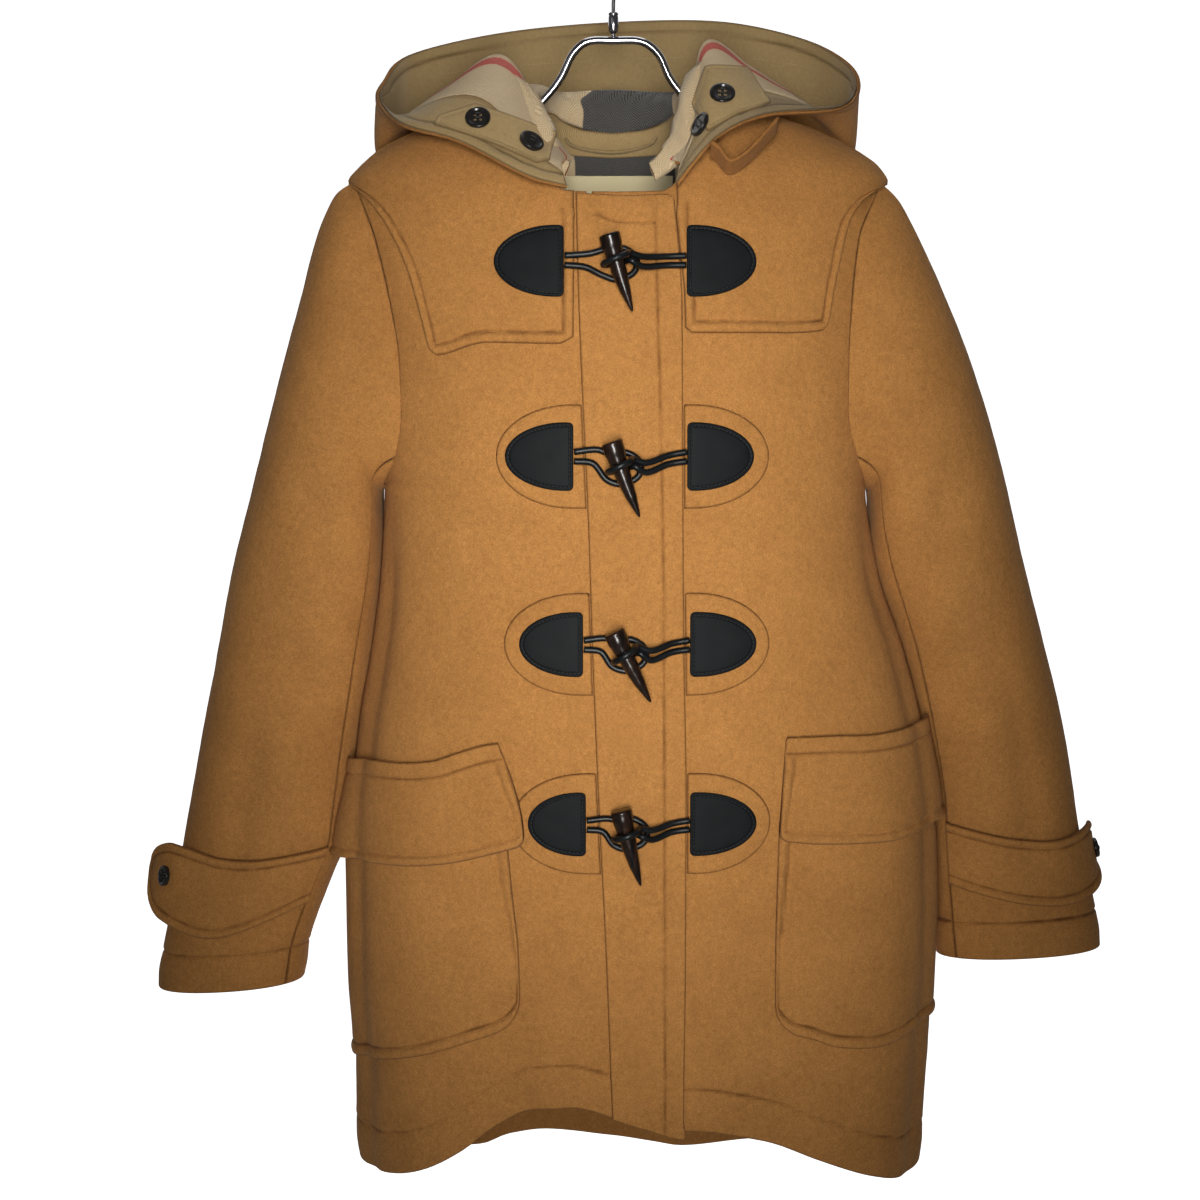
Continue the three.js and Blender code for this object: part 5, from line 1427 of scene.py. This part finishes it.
FRONT_SEAM, BACK_SEAM, SEAM_TURN = 142, 222, 0.2      # the sleeve's two seams and half a seam, in degrees
SLEEVE_LONG, TOP_WIDE, UNDER_WIDE = 640, 300, 95


def add_sleeve(side, which, seed):
    word = WORD[side]
    if which == "top":
        low, high, wide = BACK_SEAM - 360 + SEAM_TURN, FRONT_SEAM - SEAM_TURN, TOP_WIDE
    else:
        low, high, wide = FRONT_SEAM + SEAM_TURN, BACK_SEAM - SEAM_TURN, UNDER_WIDE
    share = ruled(wide, 3.9)
    if side == RIGHT:
        share = 1 - share
    s = ruled(SLEEVE_LONG, 4.6, dense=[(SLEEVE_LONG - 32, 9, 1.0)])
    s = 0.002 + 0.998 * s
    turn = mix(low, high, share)[None, :] * DEG
    turn, s = np.broadcast_arrays(turn, s[:, None])
    points = sleeve_point(side, turn, s)
    normals = grid_normals(points)
    cuff = side_distances(points)["high"]
    relief = stitched(cuff, CUFF_INSET, points, STITCH_DEPTH, 1.4, 0.9, seed)
    relief = relief + 0.6 * waves(points, 55, seed + 1) + 0.15 * waves(points, 12, seed + 2)
    node = f"sleeve_{which}_{word}"
    piece = shell(node, points, normals, WOOL, -WOOL, camel, relief)


# Edges of a cuff strap along the sleeve, from its seam (0) to its tip (1); where its tip is: turn, rise
STRAP = {"top": curve([(0, 0.8), (0.5, 0.838), (0.82, 0.83), (0.92, 0.84), (1, 0.858)]),
         "low": curve([(0, 0.893), (0.5, 0.928), (0.82, 0.914), (0.92, 0.9), (1, 0.87)])}
STRAP_END = {RIGHT: (6, 17), LEFT: (-24, 7)}
STRAP_LONG, STRAP_TALL = 150, 46


def strap_grid(side, w, v):
    """Points and outward directions of a cuff strap: w from its seam to its tip, v from its low edge up."""
    end_turn, end_rise = STRAP_END[side]
    s = mix(STRAP["low"](w), STRAP["top"](w), v)
    turn = mix(FRONT_SEAM - 2, end_turn, w) * DEG
    p = sleeve_point(side, turn, s)
    step = 0.02
    around = sleeve_point(side, turn + step, s) - sleeve_point(side, turn - step, s)
    along = sleeve_point(side, turn, s + step) - sleeve_point(side, turn, s - step)
    normal = np.cross(along, around) if side == RIGHT else np.cross(around, along)
    normal = unit(normal)
    return p + normal * (1.6 + end_rise * smooth(w, 0.6, 1))[..., None], normal


def add_strap(side):
    word = WORD[side]
    w = ruled(STRAP_LONG, 2.2, dense=[(7, 4, 0.8)], edge=(0.25, 0.8, 1.6, 2.6, 4))
    v = ruled(STRAP_TALL, 1.8, dense=[(STRAP_INSET, 3, 0.7), (STRAP_TALL - STRAP_INSET, 3, 0.7)])
    if side == RIGHT:
        w = w[::-1]
    ww, vv = np.meshgrid(w, v)
    points, normals = strap_grid(side, ww, vv)
    if np.dot(np.cross(points[0, 1] - points[0, 0], points[1, 0] - points[0, 0]), normals[0, 0]) < 0:
        points, normals = points[::-1], normals[::-1]
    away = side_distances(points)
    near = np.minimum.reduce([away[k] for k in away if k != word])
    relief = stitched(near, STRAP_INSET, points, STITCH_DEPTH, 1.3, 1.1, 71)
    node = f"cuff_strap_{word}"
    piece = shell(node, points, normals, STRAP_CLOTH, 0, camel, relief)


# Hood, lying open over the shoulders and hanging down the back
HOOD = [
    # neck angle, fold (x, y, z), lowest stretch (x, y, z), rim (x, y, z)
    (259, -38, -66, -194, -37, -73, -202, -34, -78, -212),
    (251, -52, -36, -166, -58, -63, -187, -64, -78, -204),
    (238, -82, -10, -110, -99, -44, -148, -114, -64, -178),
    (215, -115, 0, -126, -139, -20, -147, -158, -40, -163),
    (186, -140, 26, -142, -177, 30, -168, -179, 12, -138),
    (160, -116, 46, -138, -175, 76, -200, -178, 50, -119),
    (138, -88, 54, -133, -148, 110, -250, -161, 86, -94),
    (115, -52, 60, -130, -90, 126, -288, -91, 108, -74),
    (90, 0, 63, -127, 2, 136, -304, 0, 117, -64),
    (65, 54, 60, -130, 92, 127, -288, 88, 108, -65),
    (42, 90, 54, -133, 150, 110, -248, 152, 86, -82),
    (20, 118, 46, -137, 180, 76, -198, 183.5, 50, -106),
    (-6, 146, 26, -141, 179, 30, -167, 187, 14, -130),
    (-35, 128, 2, -134, 152, -12, -150, 168, -24, -149),
    (-58, 100, -4, -116, 110, -36, -140, 112, -56, -158),
    (-70, 70, -8, -100, 76, -46, -140, 78, -70, -174),
    (-76, 60, -34, -158, 59, -62, -178, 57, -77, -196),
    (-81, 49, -64, -194, 48, -71, -202, 46, -76, -210),
]
HOOD_UP, HOOD_STAND = 1.4, 11               # its neck edge over the body's, and how far it stands up there
HOOD_MIDDLE, HOOD_SLIT = 8 / 17, 0.0006     # where the halves meet, and half the slit between them
HOOD_LONG = 300                             # length from the neck edge to the rim
HOOD_ENDS = {RIGHT: (0.0, 0.24), LEFT: (0.76, 1.0)}
FACING_V = 0.735                            # share of that length where lining meets facing
LINING_IN = 0.6                             # gap between the wool and what lines it


def hood_row(row):
    """Five places in space from the neck edge to the rim, for one row of the hood's table."""
    angle = row[0] * DEG
    turn = abs(math.atan2(math.sin(angle), abs(math.cos(angle))))
    back = math.sin(angle) > 0
    z = float(neck_z(np.array(turn), back))
    neck = body(np.array(angle), np.array(z))
    inward = np.array([0, 0, z]) - neck
    inward = inward / np.linalg.norm(inward)
    front = float(smooth(turn / DEG, 50, 75)) * (0 if back else 1)
    neck = neck + inward * (WOOL + SEAM + 2.5 * front)
    neck[2] += HOOD_UP + 7 * front
    fold = np.array(row[1:4], float)
    stand = neck + inward * (0.5 + 6 * front)
    stand[2] += min(HOOD_STAND, 0.6 * (fold[2] - neck[2]) + 6)
    return [neck, stand, fold, np.array(row[4:7], float), np.array(row[7:10], float)]


hood_rows = np.array([hood_row(row) for row in HOOD])


def hood_grid(us, vs):
    """Points of the hood: us from the right front edge round the back, vs from the neck to the rim."""
    lines = np.array([[through(hood_rows[:, k], u, False) for u in us] for k in range(5)])
    return np.array([through(lines, v) for v in vs])


def add_hood_half(side, node, seed):
    if side == RIGHT:
        us = ruled(330, 4.0) * (HOOD_MIDDLE - HOOD_SLIT)
    else:
        us = HOOD_MIDDLE + HOOD_SLIT + (1 - HOOD_MIDDLE - HOOD_SLIT) * ruled(350, 4.0)
    vs = ruled(HOOD_LONG, 3.4, dense=[(292, 6, 0.9)])
    points = hood_grid(us, vs)
    normals = grid_normals(points)
    rim = side_distances(points)["high"]
    seam = side_distances(points)[WORD[side]]
    dent = -0.9 * bump(rim - 8, 1.4) - 0.5 * bump(seam - 6, 1.2)
    piece = shell(node, points, -normals, WOOL, 0, camel, 0.35 * waves(points, 45, seed) + dent)
    piece.data.flip_normals()


# How far the lining goes under the wool at the neck edge, and how much further at the hood's two ends
UNDER_REACH, EAR_REACH = 0.2, 0.24
UNDER_ROWS, EDGE_ROWS = 12, 5


def lining_under(us, low, down, way):
    """The lining's rows under the wool, and round the neck edge up to its inner side."""
    deep = LINING_IN + WOOL + TWILL
    reach = UNDER_REACH + EAR_REACH * (1 - smooth(us, 0.10, 0.22) + smooth(us, 0.78, 0.90))
    fine_vs = np.linspace(0, UNDER_REACH + EAR_REACH + 0.02, 120)
    wool = hood_grid(us, fine_vs)
    wool_ways = grid_normals(wool)
    column = np.arange(len(us))
    points, normals = [], []
    for share in np.linspace(1, 0, UNDER_ROWS):
        row = reach * share / fine_vs[1]
        first = row.astype(int)
        part = (row - first)[:, None]
        way_here = unit(mix(wool_ways[first, column], wool_ways[first + 1, column], part))
        spot = mix(wool[first, column], wool[first + 1, column], part)
        points.append(spot - way_here * deep)
        normals.append(-way_here)
    for turn in np.linspace(-60, 60, EDGE_ROWS) * DEG:
        lean = math.sin(turn)
        points.append(low - way * (deep / 2) * (1 - lean) + down * (1.6 * math.cos(turn)))
        normals.append(unit(down * math.cos(turn) + way * lean))
    return points, normals


def add_hood_lining():
    us = ruled(680, 4.2)
    vs = ruled(210, 4.0) * (FACING_V - 0.004)
    points = hood_grid(us, vs)
    normals = grid_normals(points)
    down = unit(points[0] - points[1])
    under_points, under_normals = lining_under(us, hood_grid(us, [0.0])[0], down, normals[0])
    points = np.concatenate([under_points, points])
    normals = np.concatenate([under_normals, normals])
    v_rows = np.concatenate([np.zeros(len(under_points)), vs])
    vv = np.repeat(v_rows[:, None], len(us), 1)
    wrinkle = 1.3 * waves(points, 34, 81) * smooth(vv, 0.05, 0.25) + 0.3 * waves(points, 12, 82)
    wrinkle = wrinkle + 0.6 * smooth(vv, 0, 0.1)
    piece = shell("hood_lining", points, normals, TWILL, LINING_IN, lining, wrinkle, under=wrinkle,
                  from_middle=True)


FACING_STITCH = 9.5


def add_hood_facing():
    us = ruled(760, 3.3)
    vs = FACING_V + (1 - FACING_V) * ruled(80, 2.2, dense=[(71.5, 5, 0.7)])
    points = hood_grid(us, vs)
    normals = grid_normals(points)
    away = side_distances(points)
    rim, low = away["high"], away["low"]
    pucker = 0.55 * waves(points, 9, 83) * bump(rim - 8, 9) + 0.7 * waves(points, 26, 84) * smooth(rim, 3, 22)
    relief = -0.7 * bump(rim - FACING_STITCH, 1.0) + pucker + 0.35 * bump(rim - 4, 3) - 0.4 * bump(low - 2, 1)
    # Painted shade along the rim's row of stitches and the low edge, given as seam in place of shade from
    # relief
    seam = 0.8 * bump(rim - FACING_STITCH, 1.3) + 0.5 * bump(low - 2, 1)
    piece = shell("hood_facing", points, normals, TWILL, LINING_IN, khaki, relief, under=pucker, seam=seam)
    edge = hood_grid(np.linspace(0.01, 0.99, 420), [1 - 8.5 / HOOD_LONG, 1 - 7.0 / HOOD_LONG])
    line = edge[0]
    way = unit(np.cross(unit(np.gradient(line, axis=0)), edge[1] - line))
    twill_threads.extend(thread_run(line + way * (LINING_IN + TWILL - 0.35), way, 2.4, 0.9, 0.26))


# Tabs, buttons and strap at the hood's ends
class HoodFace:
    """The hood's inner face near one end, found again by its x and z in front view."""

    def __init__(self, low_u, high_u):
        self.points = hood_grid(np.linspace(low_u, high_u, 70), np.linspace(0.60, 1.0, 60))
        self.normals = grid_normals(self.points)
        flat = self.points.reshape(-1, 3)
        self.tree = KDTree(len(flat))
        for i, p in enumerate(flat):
            self.tree.insert((p[0], p[2], 0), i)
        self.tree.balance()

    def at(self, x, z):
        """Points and outward directions at x, z, from the nearest places of the grid."""
        spots, ways = [], []
        flat, way = self.points.reshape(-1, 3), self.normals.reshape(-1, 3)
        for px, pz in zip(np.ravel(x), np.ravel(z)):
            near = self.tree.find_n((px, pz, 0), 8)
            index = [n[1] for n in near]
            weight = np.array([1 / (n[2] + 0.3) ** 2 for n in near])
            weight /= weight.sum()
            p = weight @ flat[index]
            p[0], p[2] = px, pz
            spots.append(p)
            ways.append(unit(weight @ way[index]))
        return np.array(spots), np.array(ways)


TAB_IN = LINING_IN + TWILL + SEAM
TAB_INSET = 3.2
TAB_LOOP = {
    RIGHT: [(-133, -166), (-129, -159), (-102, -150), (-43, -171), (-47, -194), (-57, -196), (-90, -181)],
    LEFT: [(61, -148), (69, -173), (91, -160), (108, -154), (116, -150), (100, -120), (70, -120)],
}


def add_tabs():
    def relief(away, at):
        stitches = 0.3 - 0.45 * bump(away - TAB_INSET, 0.7) - 0.3 * bump(away - 9.5, 0.7)
        return stitches + 0.25 * waves(at, 18, 91)
    for side, span in HOOD_ENDS.items():
        face = HoodFace(*span)
        loop = even_outline(TAB_LOOP[side], 1.4)
        node = f"hood_tab_{WORD[side]}"
        piece = laid_piece(node, loop, face.at, TAB_IN, TAB, khaki, (0.25, 0.7, 1.5, 2.5, 3.2, 4, 5.5), 2.4,
                           relief, roundness=0.7)
        line = inset_loop(loop, TAB_INSET)
        line = np.concatenate([line, line[:1]])
        spot, way = face.at(line[:, 0], line[:, 1])
        twill_threads.extend(thread_run(spot + way * (TAB_IN + TAB - 0.1), way, 2.2, 0.8, 0.24))


HOLE_OUT, HOLE_ROUND = 0.22, 0.115      # places and radius of a button's holes, in radii of the button


def model_button(radius, thick):
    """A four-hole button with a rolled rim, lying flat with its face up, in millimetres."""
    bpy.ops.object.select_all(action="DESELECT")
    bpy.ops.mesh.primitive_cylinder_add(vertices=40, radius=radius * MM, depth=thick * MM,
                                        location=(0, 0, thick * MM / 2), end_fill_type="NGON")
    button = bpy.context.active_object
    bpy.ops.object.mode_set(mode="EDIT")
    bpy.ops.mesh.select_mode(type="FACE")
    bpy.ops.mesh.select_all(action="DESELECT")
    bpy.ops.object.mode_set(mode="OBJECT")
    for face in button.data.polygons:
        face.select = face.normal.z > 0.9
    bpy.ops.object.mode_set(mode="EDIT")
    bpy.ops.mesh.inset(thickness=radius * 0.2 * MM, depth=0)
    bpy.ops.mesh.inset(thickness=radius * 0.1 * MM, depth=-thick * 0.24 * MM)
    bpy.ops.mesh.inset(thickness=radius * 0.3 * MM, depth=-thick * 0.06 * MM)
    bpy.ops.object.mode_set(mode="OBJECT")
    bevel = button.modifiers.new("rolled", "BEVEL")
    bevel.width = thick * 0.22 * MM
    bevel.segments = 3
    bevel.limit_method = "ANGLE"
    bevel.angle_limit = 50 * DEG
    bpy.ops.object.modifier_apply(modifier="rolled")
    for x, y in ((1, 1), (-1, 1), (-1, -1), (1, -1)):
        bpy.ops.object.select_all(action="DESELECT")
        place = (x * radius * HOLE_OUT * MM, y * radius * HOLE_OUT * MM, 0)
        bpy.ops.mesh.primitive_cylinder_add(vertices=14, radius=radius * HOLE_ROUND * MM,
                                            depth=thick * 4 * MM, location=place)
        drill = bpy.context.active_object
        hole = button.modifiers.new("hole", "BOOLEAN")
        hole.object = drill
        hole.operation = "DIFFERENCE"
        hole.solver = "EXACT"
        bpy.ops.object.select_all(action="DESELECT")
        bpy.context.view_layer.objects.active = button
        button.select_set(True)
        bpy.ops.object.modifier_apply(modifier="hole")
        bpy.data.objects.remove(drill, do_unlink=True)
    return button


def button_threads(radius, thick):
    """Two pairs of threads between a button's holes, lying as its pattern does."""
    r = radius * HOLE_OUT
    top = thick * 0.72
    parts = []
    for sign in (1, -1):
        for off in (-0.25, 0.25):
            path = np.array([(-r, sign * r + off, top - 2), (-r * 0.9, sign * r + off, top + 0.25),
                             (r * 0.9, sign * r + off, top + 0.25), (r, sign * r + off, top - 2)])
            parts.append(tube(path_of(path, 9), 0.3, 6))
    return joined(parts)


def set_button(pattern, name, spot, way, threads):
    turn = Vector((0, 0, 1)).rotation_difference(Vector(way)).to_matrix()
    set_copy(pattern, name, spot, turn, button_black, 35)
    points, faces, uv = threads
    dark_threads.append(((points @ np.array(turn).T) + np.asarray(spot), faces, uv))


HOOD_BUTTON, CUFF_BUTTON, BUTTON_THICK = 9.5, 8, 3.4
CUFF_BUTTON_AT = {RIGHT: 0.84, LEFT: 0.86}      # share along the strap
HOOD_BUTTONS = [
    # name, x, z, right or left end
    ("hood_button_right_outer", -100, -161, RIGHT), ("hood_button_right_inner", -60, -178, RIGHT),
    ("hood_button_left_outer", 80, -141, LEFT), ("hood_button_left_inner", 63, -166, LEFT),
]


def node_middle(name):
    low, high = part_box(name)
    return (np.array(low) + np.array(high)) / 2 / MM


def add_buttons():
    big, big_threads = model_button(HOOD_BUTTON, BUTTON_THICK), button_threads(HOOD_BUTTON, BUTTON_THICK)
    small, small_threads = model_button(CUFF_BUTTON, BUTTON_THICK), button_threads(CUFF_BUTTON, BUTTON_THICK)
    faces = {side: HoodFace(*span) for side, span in HOOD_ENDS.items()}
    for name, x, z, side in HOOD_BUTTONS:
        _, way = faces[side].at(np.array([x]), np.array([z]))
        set_button(big, name, node_middle(name) - way[0] * BUTTON_THICK / 2, way[0], big_threads)
    for side, w in CUFF_BUTTON_AT.items():
        _, way = strap_grid(side, np.array([w]), np.array([0.5]))
        name = f"cuff_button_{WORD[side]}"
        set_button(small, name, node_middle(name) - way[0] * BUTTON_THICK / 2, way[0], small_threads)
    bpy.data.objects.remove(big, do_unlink=True)
    bpy.data.objects.remove(small, do_unlink=True)


THROAT = [(70.2, -184.3), (76, -189), (84, -198), (94, -194), (121, -167)]
THROAT_FRONT, THROAT_BACK = -81, -61        # y of its two long edges
THROAT_TILT = 4.5                           # how far the front edge stands up, and the back one hangs
THROAT_STEPS = 60


def add_throat_loop():
    """A folded strap of coat cloth, its width running back under the hood's left end."""
    line = path_of([(x, 0, z) for x, z in THROAT], THROAT_STEPS)
    ahead = unit(np.gradient(line, axis=0))
    up = unit(np.cross(ahead, (0, 1, 0)))
    up = up * np.sign(up[:, 2:3])
    wide = ruled(20, 1.6, edge=(0.25, 0.8, 1.6))
    rows = []
    for v in wide:
        y = np.full(THROAT_STEPS, mix(THROAT_FRONT, THROAT_BACK, v))
        rows.append(np.stack([line[:, 0], y, line[:, 2] + mix(THROAT_TILT, -THROAT_TILT, v)], -1))
    points = np.stack(rows)
    normals = np.repeat(up[None], len(wide), 0)
    if np.dot(np.cross(points[0, 1] - points[0, 0], points[1, 0] - points[0, 0]), normals[0, 0]) < 0:
        points, normals = points[::-1], normals[::-1]
    away = side_distances(points)
    near = np.minimum(away["low"], away["high"])
    piece = shell("throat_loop", points, normals, THROAT_CLOTH, 0, camel, -0.5 * bump(near - 3.5, 0.9))


# Inside the back of the neck: lining, blank label, binding with its loop
def inside_back(x, z):
    angle = angle_at(x, z, True)
    return body(angle, z), -body_normal(angle, z)


NECK_BASE = WOOL + 0.4
LABEL_BASE = NECK_BASE + TWILL + SEAM
NECK_LINING_LOW, NECK_LINING_HIGH, NECK_LINING_HALF = -294.0, -157.0, 126.0
LABEL_LOW, LABEL_HIGH, LABEL_RIGHT, LABEL_LEFT = -235.0, -190.0, -38.0, 48.0
BINDING_LOW, BINDING_HIGH, BINDING_HALF, BINDING_LEVEL = -161.5, -140.0, 110.0, -175
BINDING_LIFT = 2.8      # its top edge stands this much above the neck edge's line


def inside_strip(half, at_level, level, share):
    """A strip round the inside of the back, from one side to the other, seen from inside."""
    start, stop = angle_at(np.array(half), at_level, True), angle_at(np.array(-half), at_level, True)
    points, normals = on_back(mix(start, stop, share[None, :]), level)
    return points[:, ::-1], -normals[:, ::-1]


def add_neck_lining():
    share, up = ruled(290, 4), ruled(120, 4)
    level = mix(NECK_LINING_LOW, NECK_LINING_HIGH, up)[:, None] + 0 * share[None, :]
    points, normals = inside_strip(NECK_LINING_HALF, level, level, share)
    relief = 0.25 * waves(points, 30, 95)
    piece = shell("neck_lining", points, normals, TWILL, NECK_BASE, lining, relief, from_middle=True)


def add_label():
    share, up = ruled(86, 2), ruled(45, 2)
    z = mix(LABEL_LOW, LABEL_HIGH, up)[:, None] + 0 * share[None, :]
    x = mix(LABEL_RIGHT, LABEL_LEFT, share)[None, :] + 0 * up[:, None]
    points, normals = inside_back(x, z)
    near = np.minimum.reduce(list(side_distances(points).values()))
    piece = shell("label", points, normals, LABEL, LABEL_BASE, label_cloth, -0.15 * bump(near - 2, 0.6))


def add_neck_binding():
    share, up = ruled(250, 3), ruled(18, 1.6)
    level = mix(BINDING_LOW, BINDING_HIGH, up)[:, None] + 0 * share[None, :]
    points, normals = inside_strip(BINDING_HALF, np.full_like(level, BINDING_LEVEL), level, share)
    points[..., 2] += BINDING_LIFT * smooth(up, 0.6, 1.0)[:, None]
    relief = 0.2 * waves(points, 8, 96) - 0.3 * bump(side_distances(points)["low"] - 2, 0.6)
    strip = shell("neck_binding", points, normals, TWILL, LABEL_BASE, khaki, relief)


HANGING_LOOP = [
    # x, z, height over the wool
    (-38, -160, 3.6), (-34, -165, 5), (0, -171, 6), (31, -164, 5), (35, -159, 3.6),
]


def add_hanging_loop():
    """A flat band of twill, sewn down at both ends on the binding."""
    places = []
    for x, z, height in HANGING_LOOP:
        p, way = inside_back(np.array(float(x)), np.array(float(z)))
        places.append(p + way * (WOOL + height))
    points, faces, uv = tube(path_of(places, 60), 2.3, 12, flat=0.5)
    link_mesh("hanging_loop", points, faces, uv, khaki)


# Hanger
WIRE, HOOK_WIRE, FERRULE = 3.0, 1.5, 3.9
HOOK_RADIUS, HOOK_MIDDLE = 23.5, -22
HANGER_MIDDLE = [
    # x, z of the wire between the collar's two ends
    (-61, -147), (-50, -137), (-40, -124), (-30, -105), (-20, -97), (0, -96), (22, -97), (34, -106),
    (43, -124), (53, -137), (64, -148.5),
]
RIGHT_ARM, LEFT_ARM = (-166, -140, -110, -82), (84, 112, 142, 170)
FERRULE_RINGS = [
    # level, radius
    (-91, 2.2), (-89.4, 3.4), (-88.6, 3.9), (-78.4, 3.9), (-77.6, 3.5), (-77.2, 3.5), (-76.6, 3.9),
    (-75.6, 3.7), (-75, 2.6), (-74.4, 1.7),
]


def ridge_z(x):
    """Level of the shoulder's ridge at x, found by halving."""
    low, high = -203.0, -140.0
    half = body_right if x < 0 else body_left
    halvings = 30
    for _ in range(halvings):
        z = (low + high) / 2
        if float(half(z)) < abs(x):
            high = z
        else:
            low = z
    return (low + high) / 2


def add_hanger():
    drop = (WOOL + WIRE + 2) / math.cos(20 * DEG)

    def arm(x):
        return (x, 0, ridge_z(x) - drop)
    arms = [arm(x) for x in RIGHT_ARM] + [(x, 0, z) for x, z in HANGER_MIDDLE] + [arm(x) for x in LEFT_ARM]
    count = 170
    from_end = np.minimum(np.arange(count), np.arange(count)[::-1])
    radii = WIRE * np.sqrt(np.clip(1 - (1 - np.minimum(from_end / 2.5, 1)) ** 2, 0.05, 1))
    parts = [tube(path_of(arms, count), WIRE, 24, radii)]
    hook = []
    for turn in range(215, -51, -20):
        x, z = -HOOK_RADIUS * math.cos(turn * DEG), HOOK_MIDDLE + HOOK_RADIUS * math.sin(turn * DEG)
        hook.append((x, 0, z))
    hook += [(-4, 0, -45), (0, 0, -53), (0, 0, -70), (0, 0, -96)]
    radii = np.full(150, HOOK_WIRE)
    radii[:4] = (0.7, 1.1, 1.4, HOOK_WIRE)
    parts.append(tube(path_of(hook, 150), HOOK_WIRE, 18, radii))
    rings = [(0, 0, z) for z, _ in FERRULE_RINGS]
    parts.append(tube(rings, FERRULE, 28, [radius for _, radius in FERRULE_RINGS]))
    points, faces, uv = joined(parts)
    link_mesh("hanger", points, faces, uv, chrome_wire, "hanger", angle=50)


def add_threads():
    """All rows of stitches and button threads, one mesh for each kind."""
    for name, parts, finish in (("leather_stitching", leather_threads, black_thread),
                                ("twill_stitching", twill_threads, khaki_thread),
                                ("button_thread", dark_threads, black_thread)):
        points, faces, uv = joined(parts)
        link_mesh(name, points, faces, uv, finish)


# The coat, piece by piece
set_camera()
set_light()
add_floor()
add_front(RIGHT, "front_right", 3)
add_front(LEFT, "front_left", 5)
add_back()
add_front_yoke(RIGHT, "yoke_right", 31)
add_front_yoke(LEFT, "yoke_left", 33)
add_back_yoke()
add_placket()
add_pocket(RIGHT, "pocket_right", 61)
add_pocket(LEFT, "pocket_left", 63)
add_flap(RIGHT, "flap_right", 65)
add_flap(LEFT, "flap_left", 67)
toggle_horn = model_horn()
for number, toggle in enumerate(TOGGLES, 1):
    add_fastening(number, toggle, toggle_horn)
bpy.data.objects.remove(toggle_horn, do_unlink=True)
for side in (RIGHT, LEFT):
    add_sleeve(side, "top", 11 + side)
    add_sleeve(side, "under", 14 + side)
    add_strap(side)
add_hood_half(RIGHT, "hood_right", 71)
add_hood_half(LEFT, "hood_left", 73)
add_hood_lining()
add_hood_facing()
add_tabs()
add_buttons()
add_throat_loop()
add_neck_lining()
add_label()
add_neck_binding()
add_hanging_loop()
add_hanger()
add_threads()
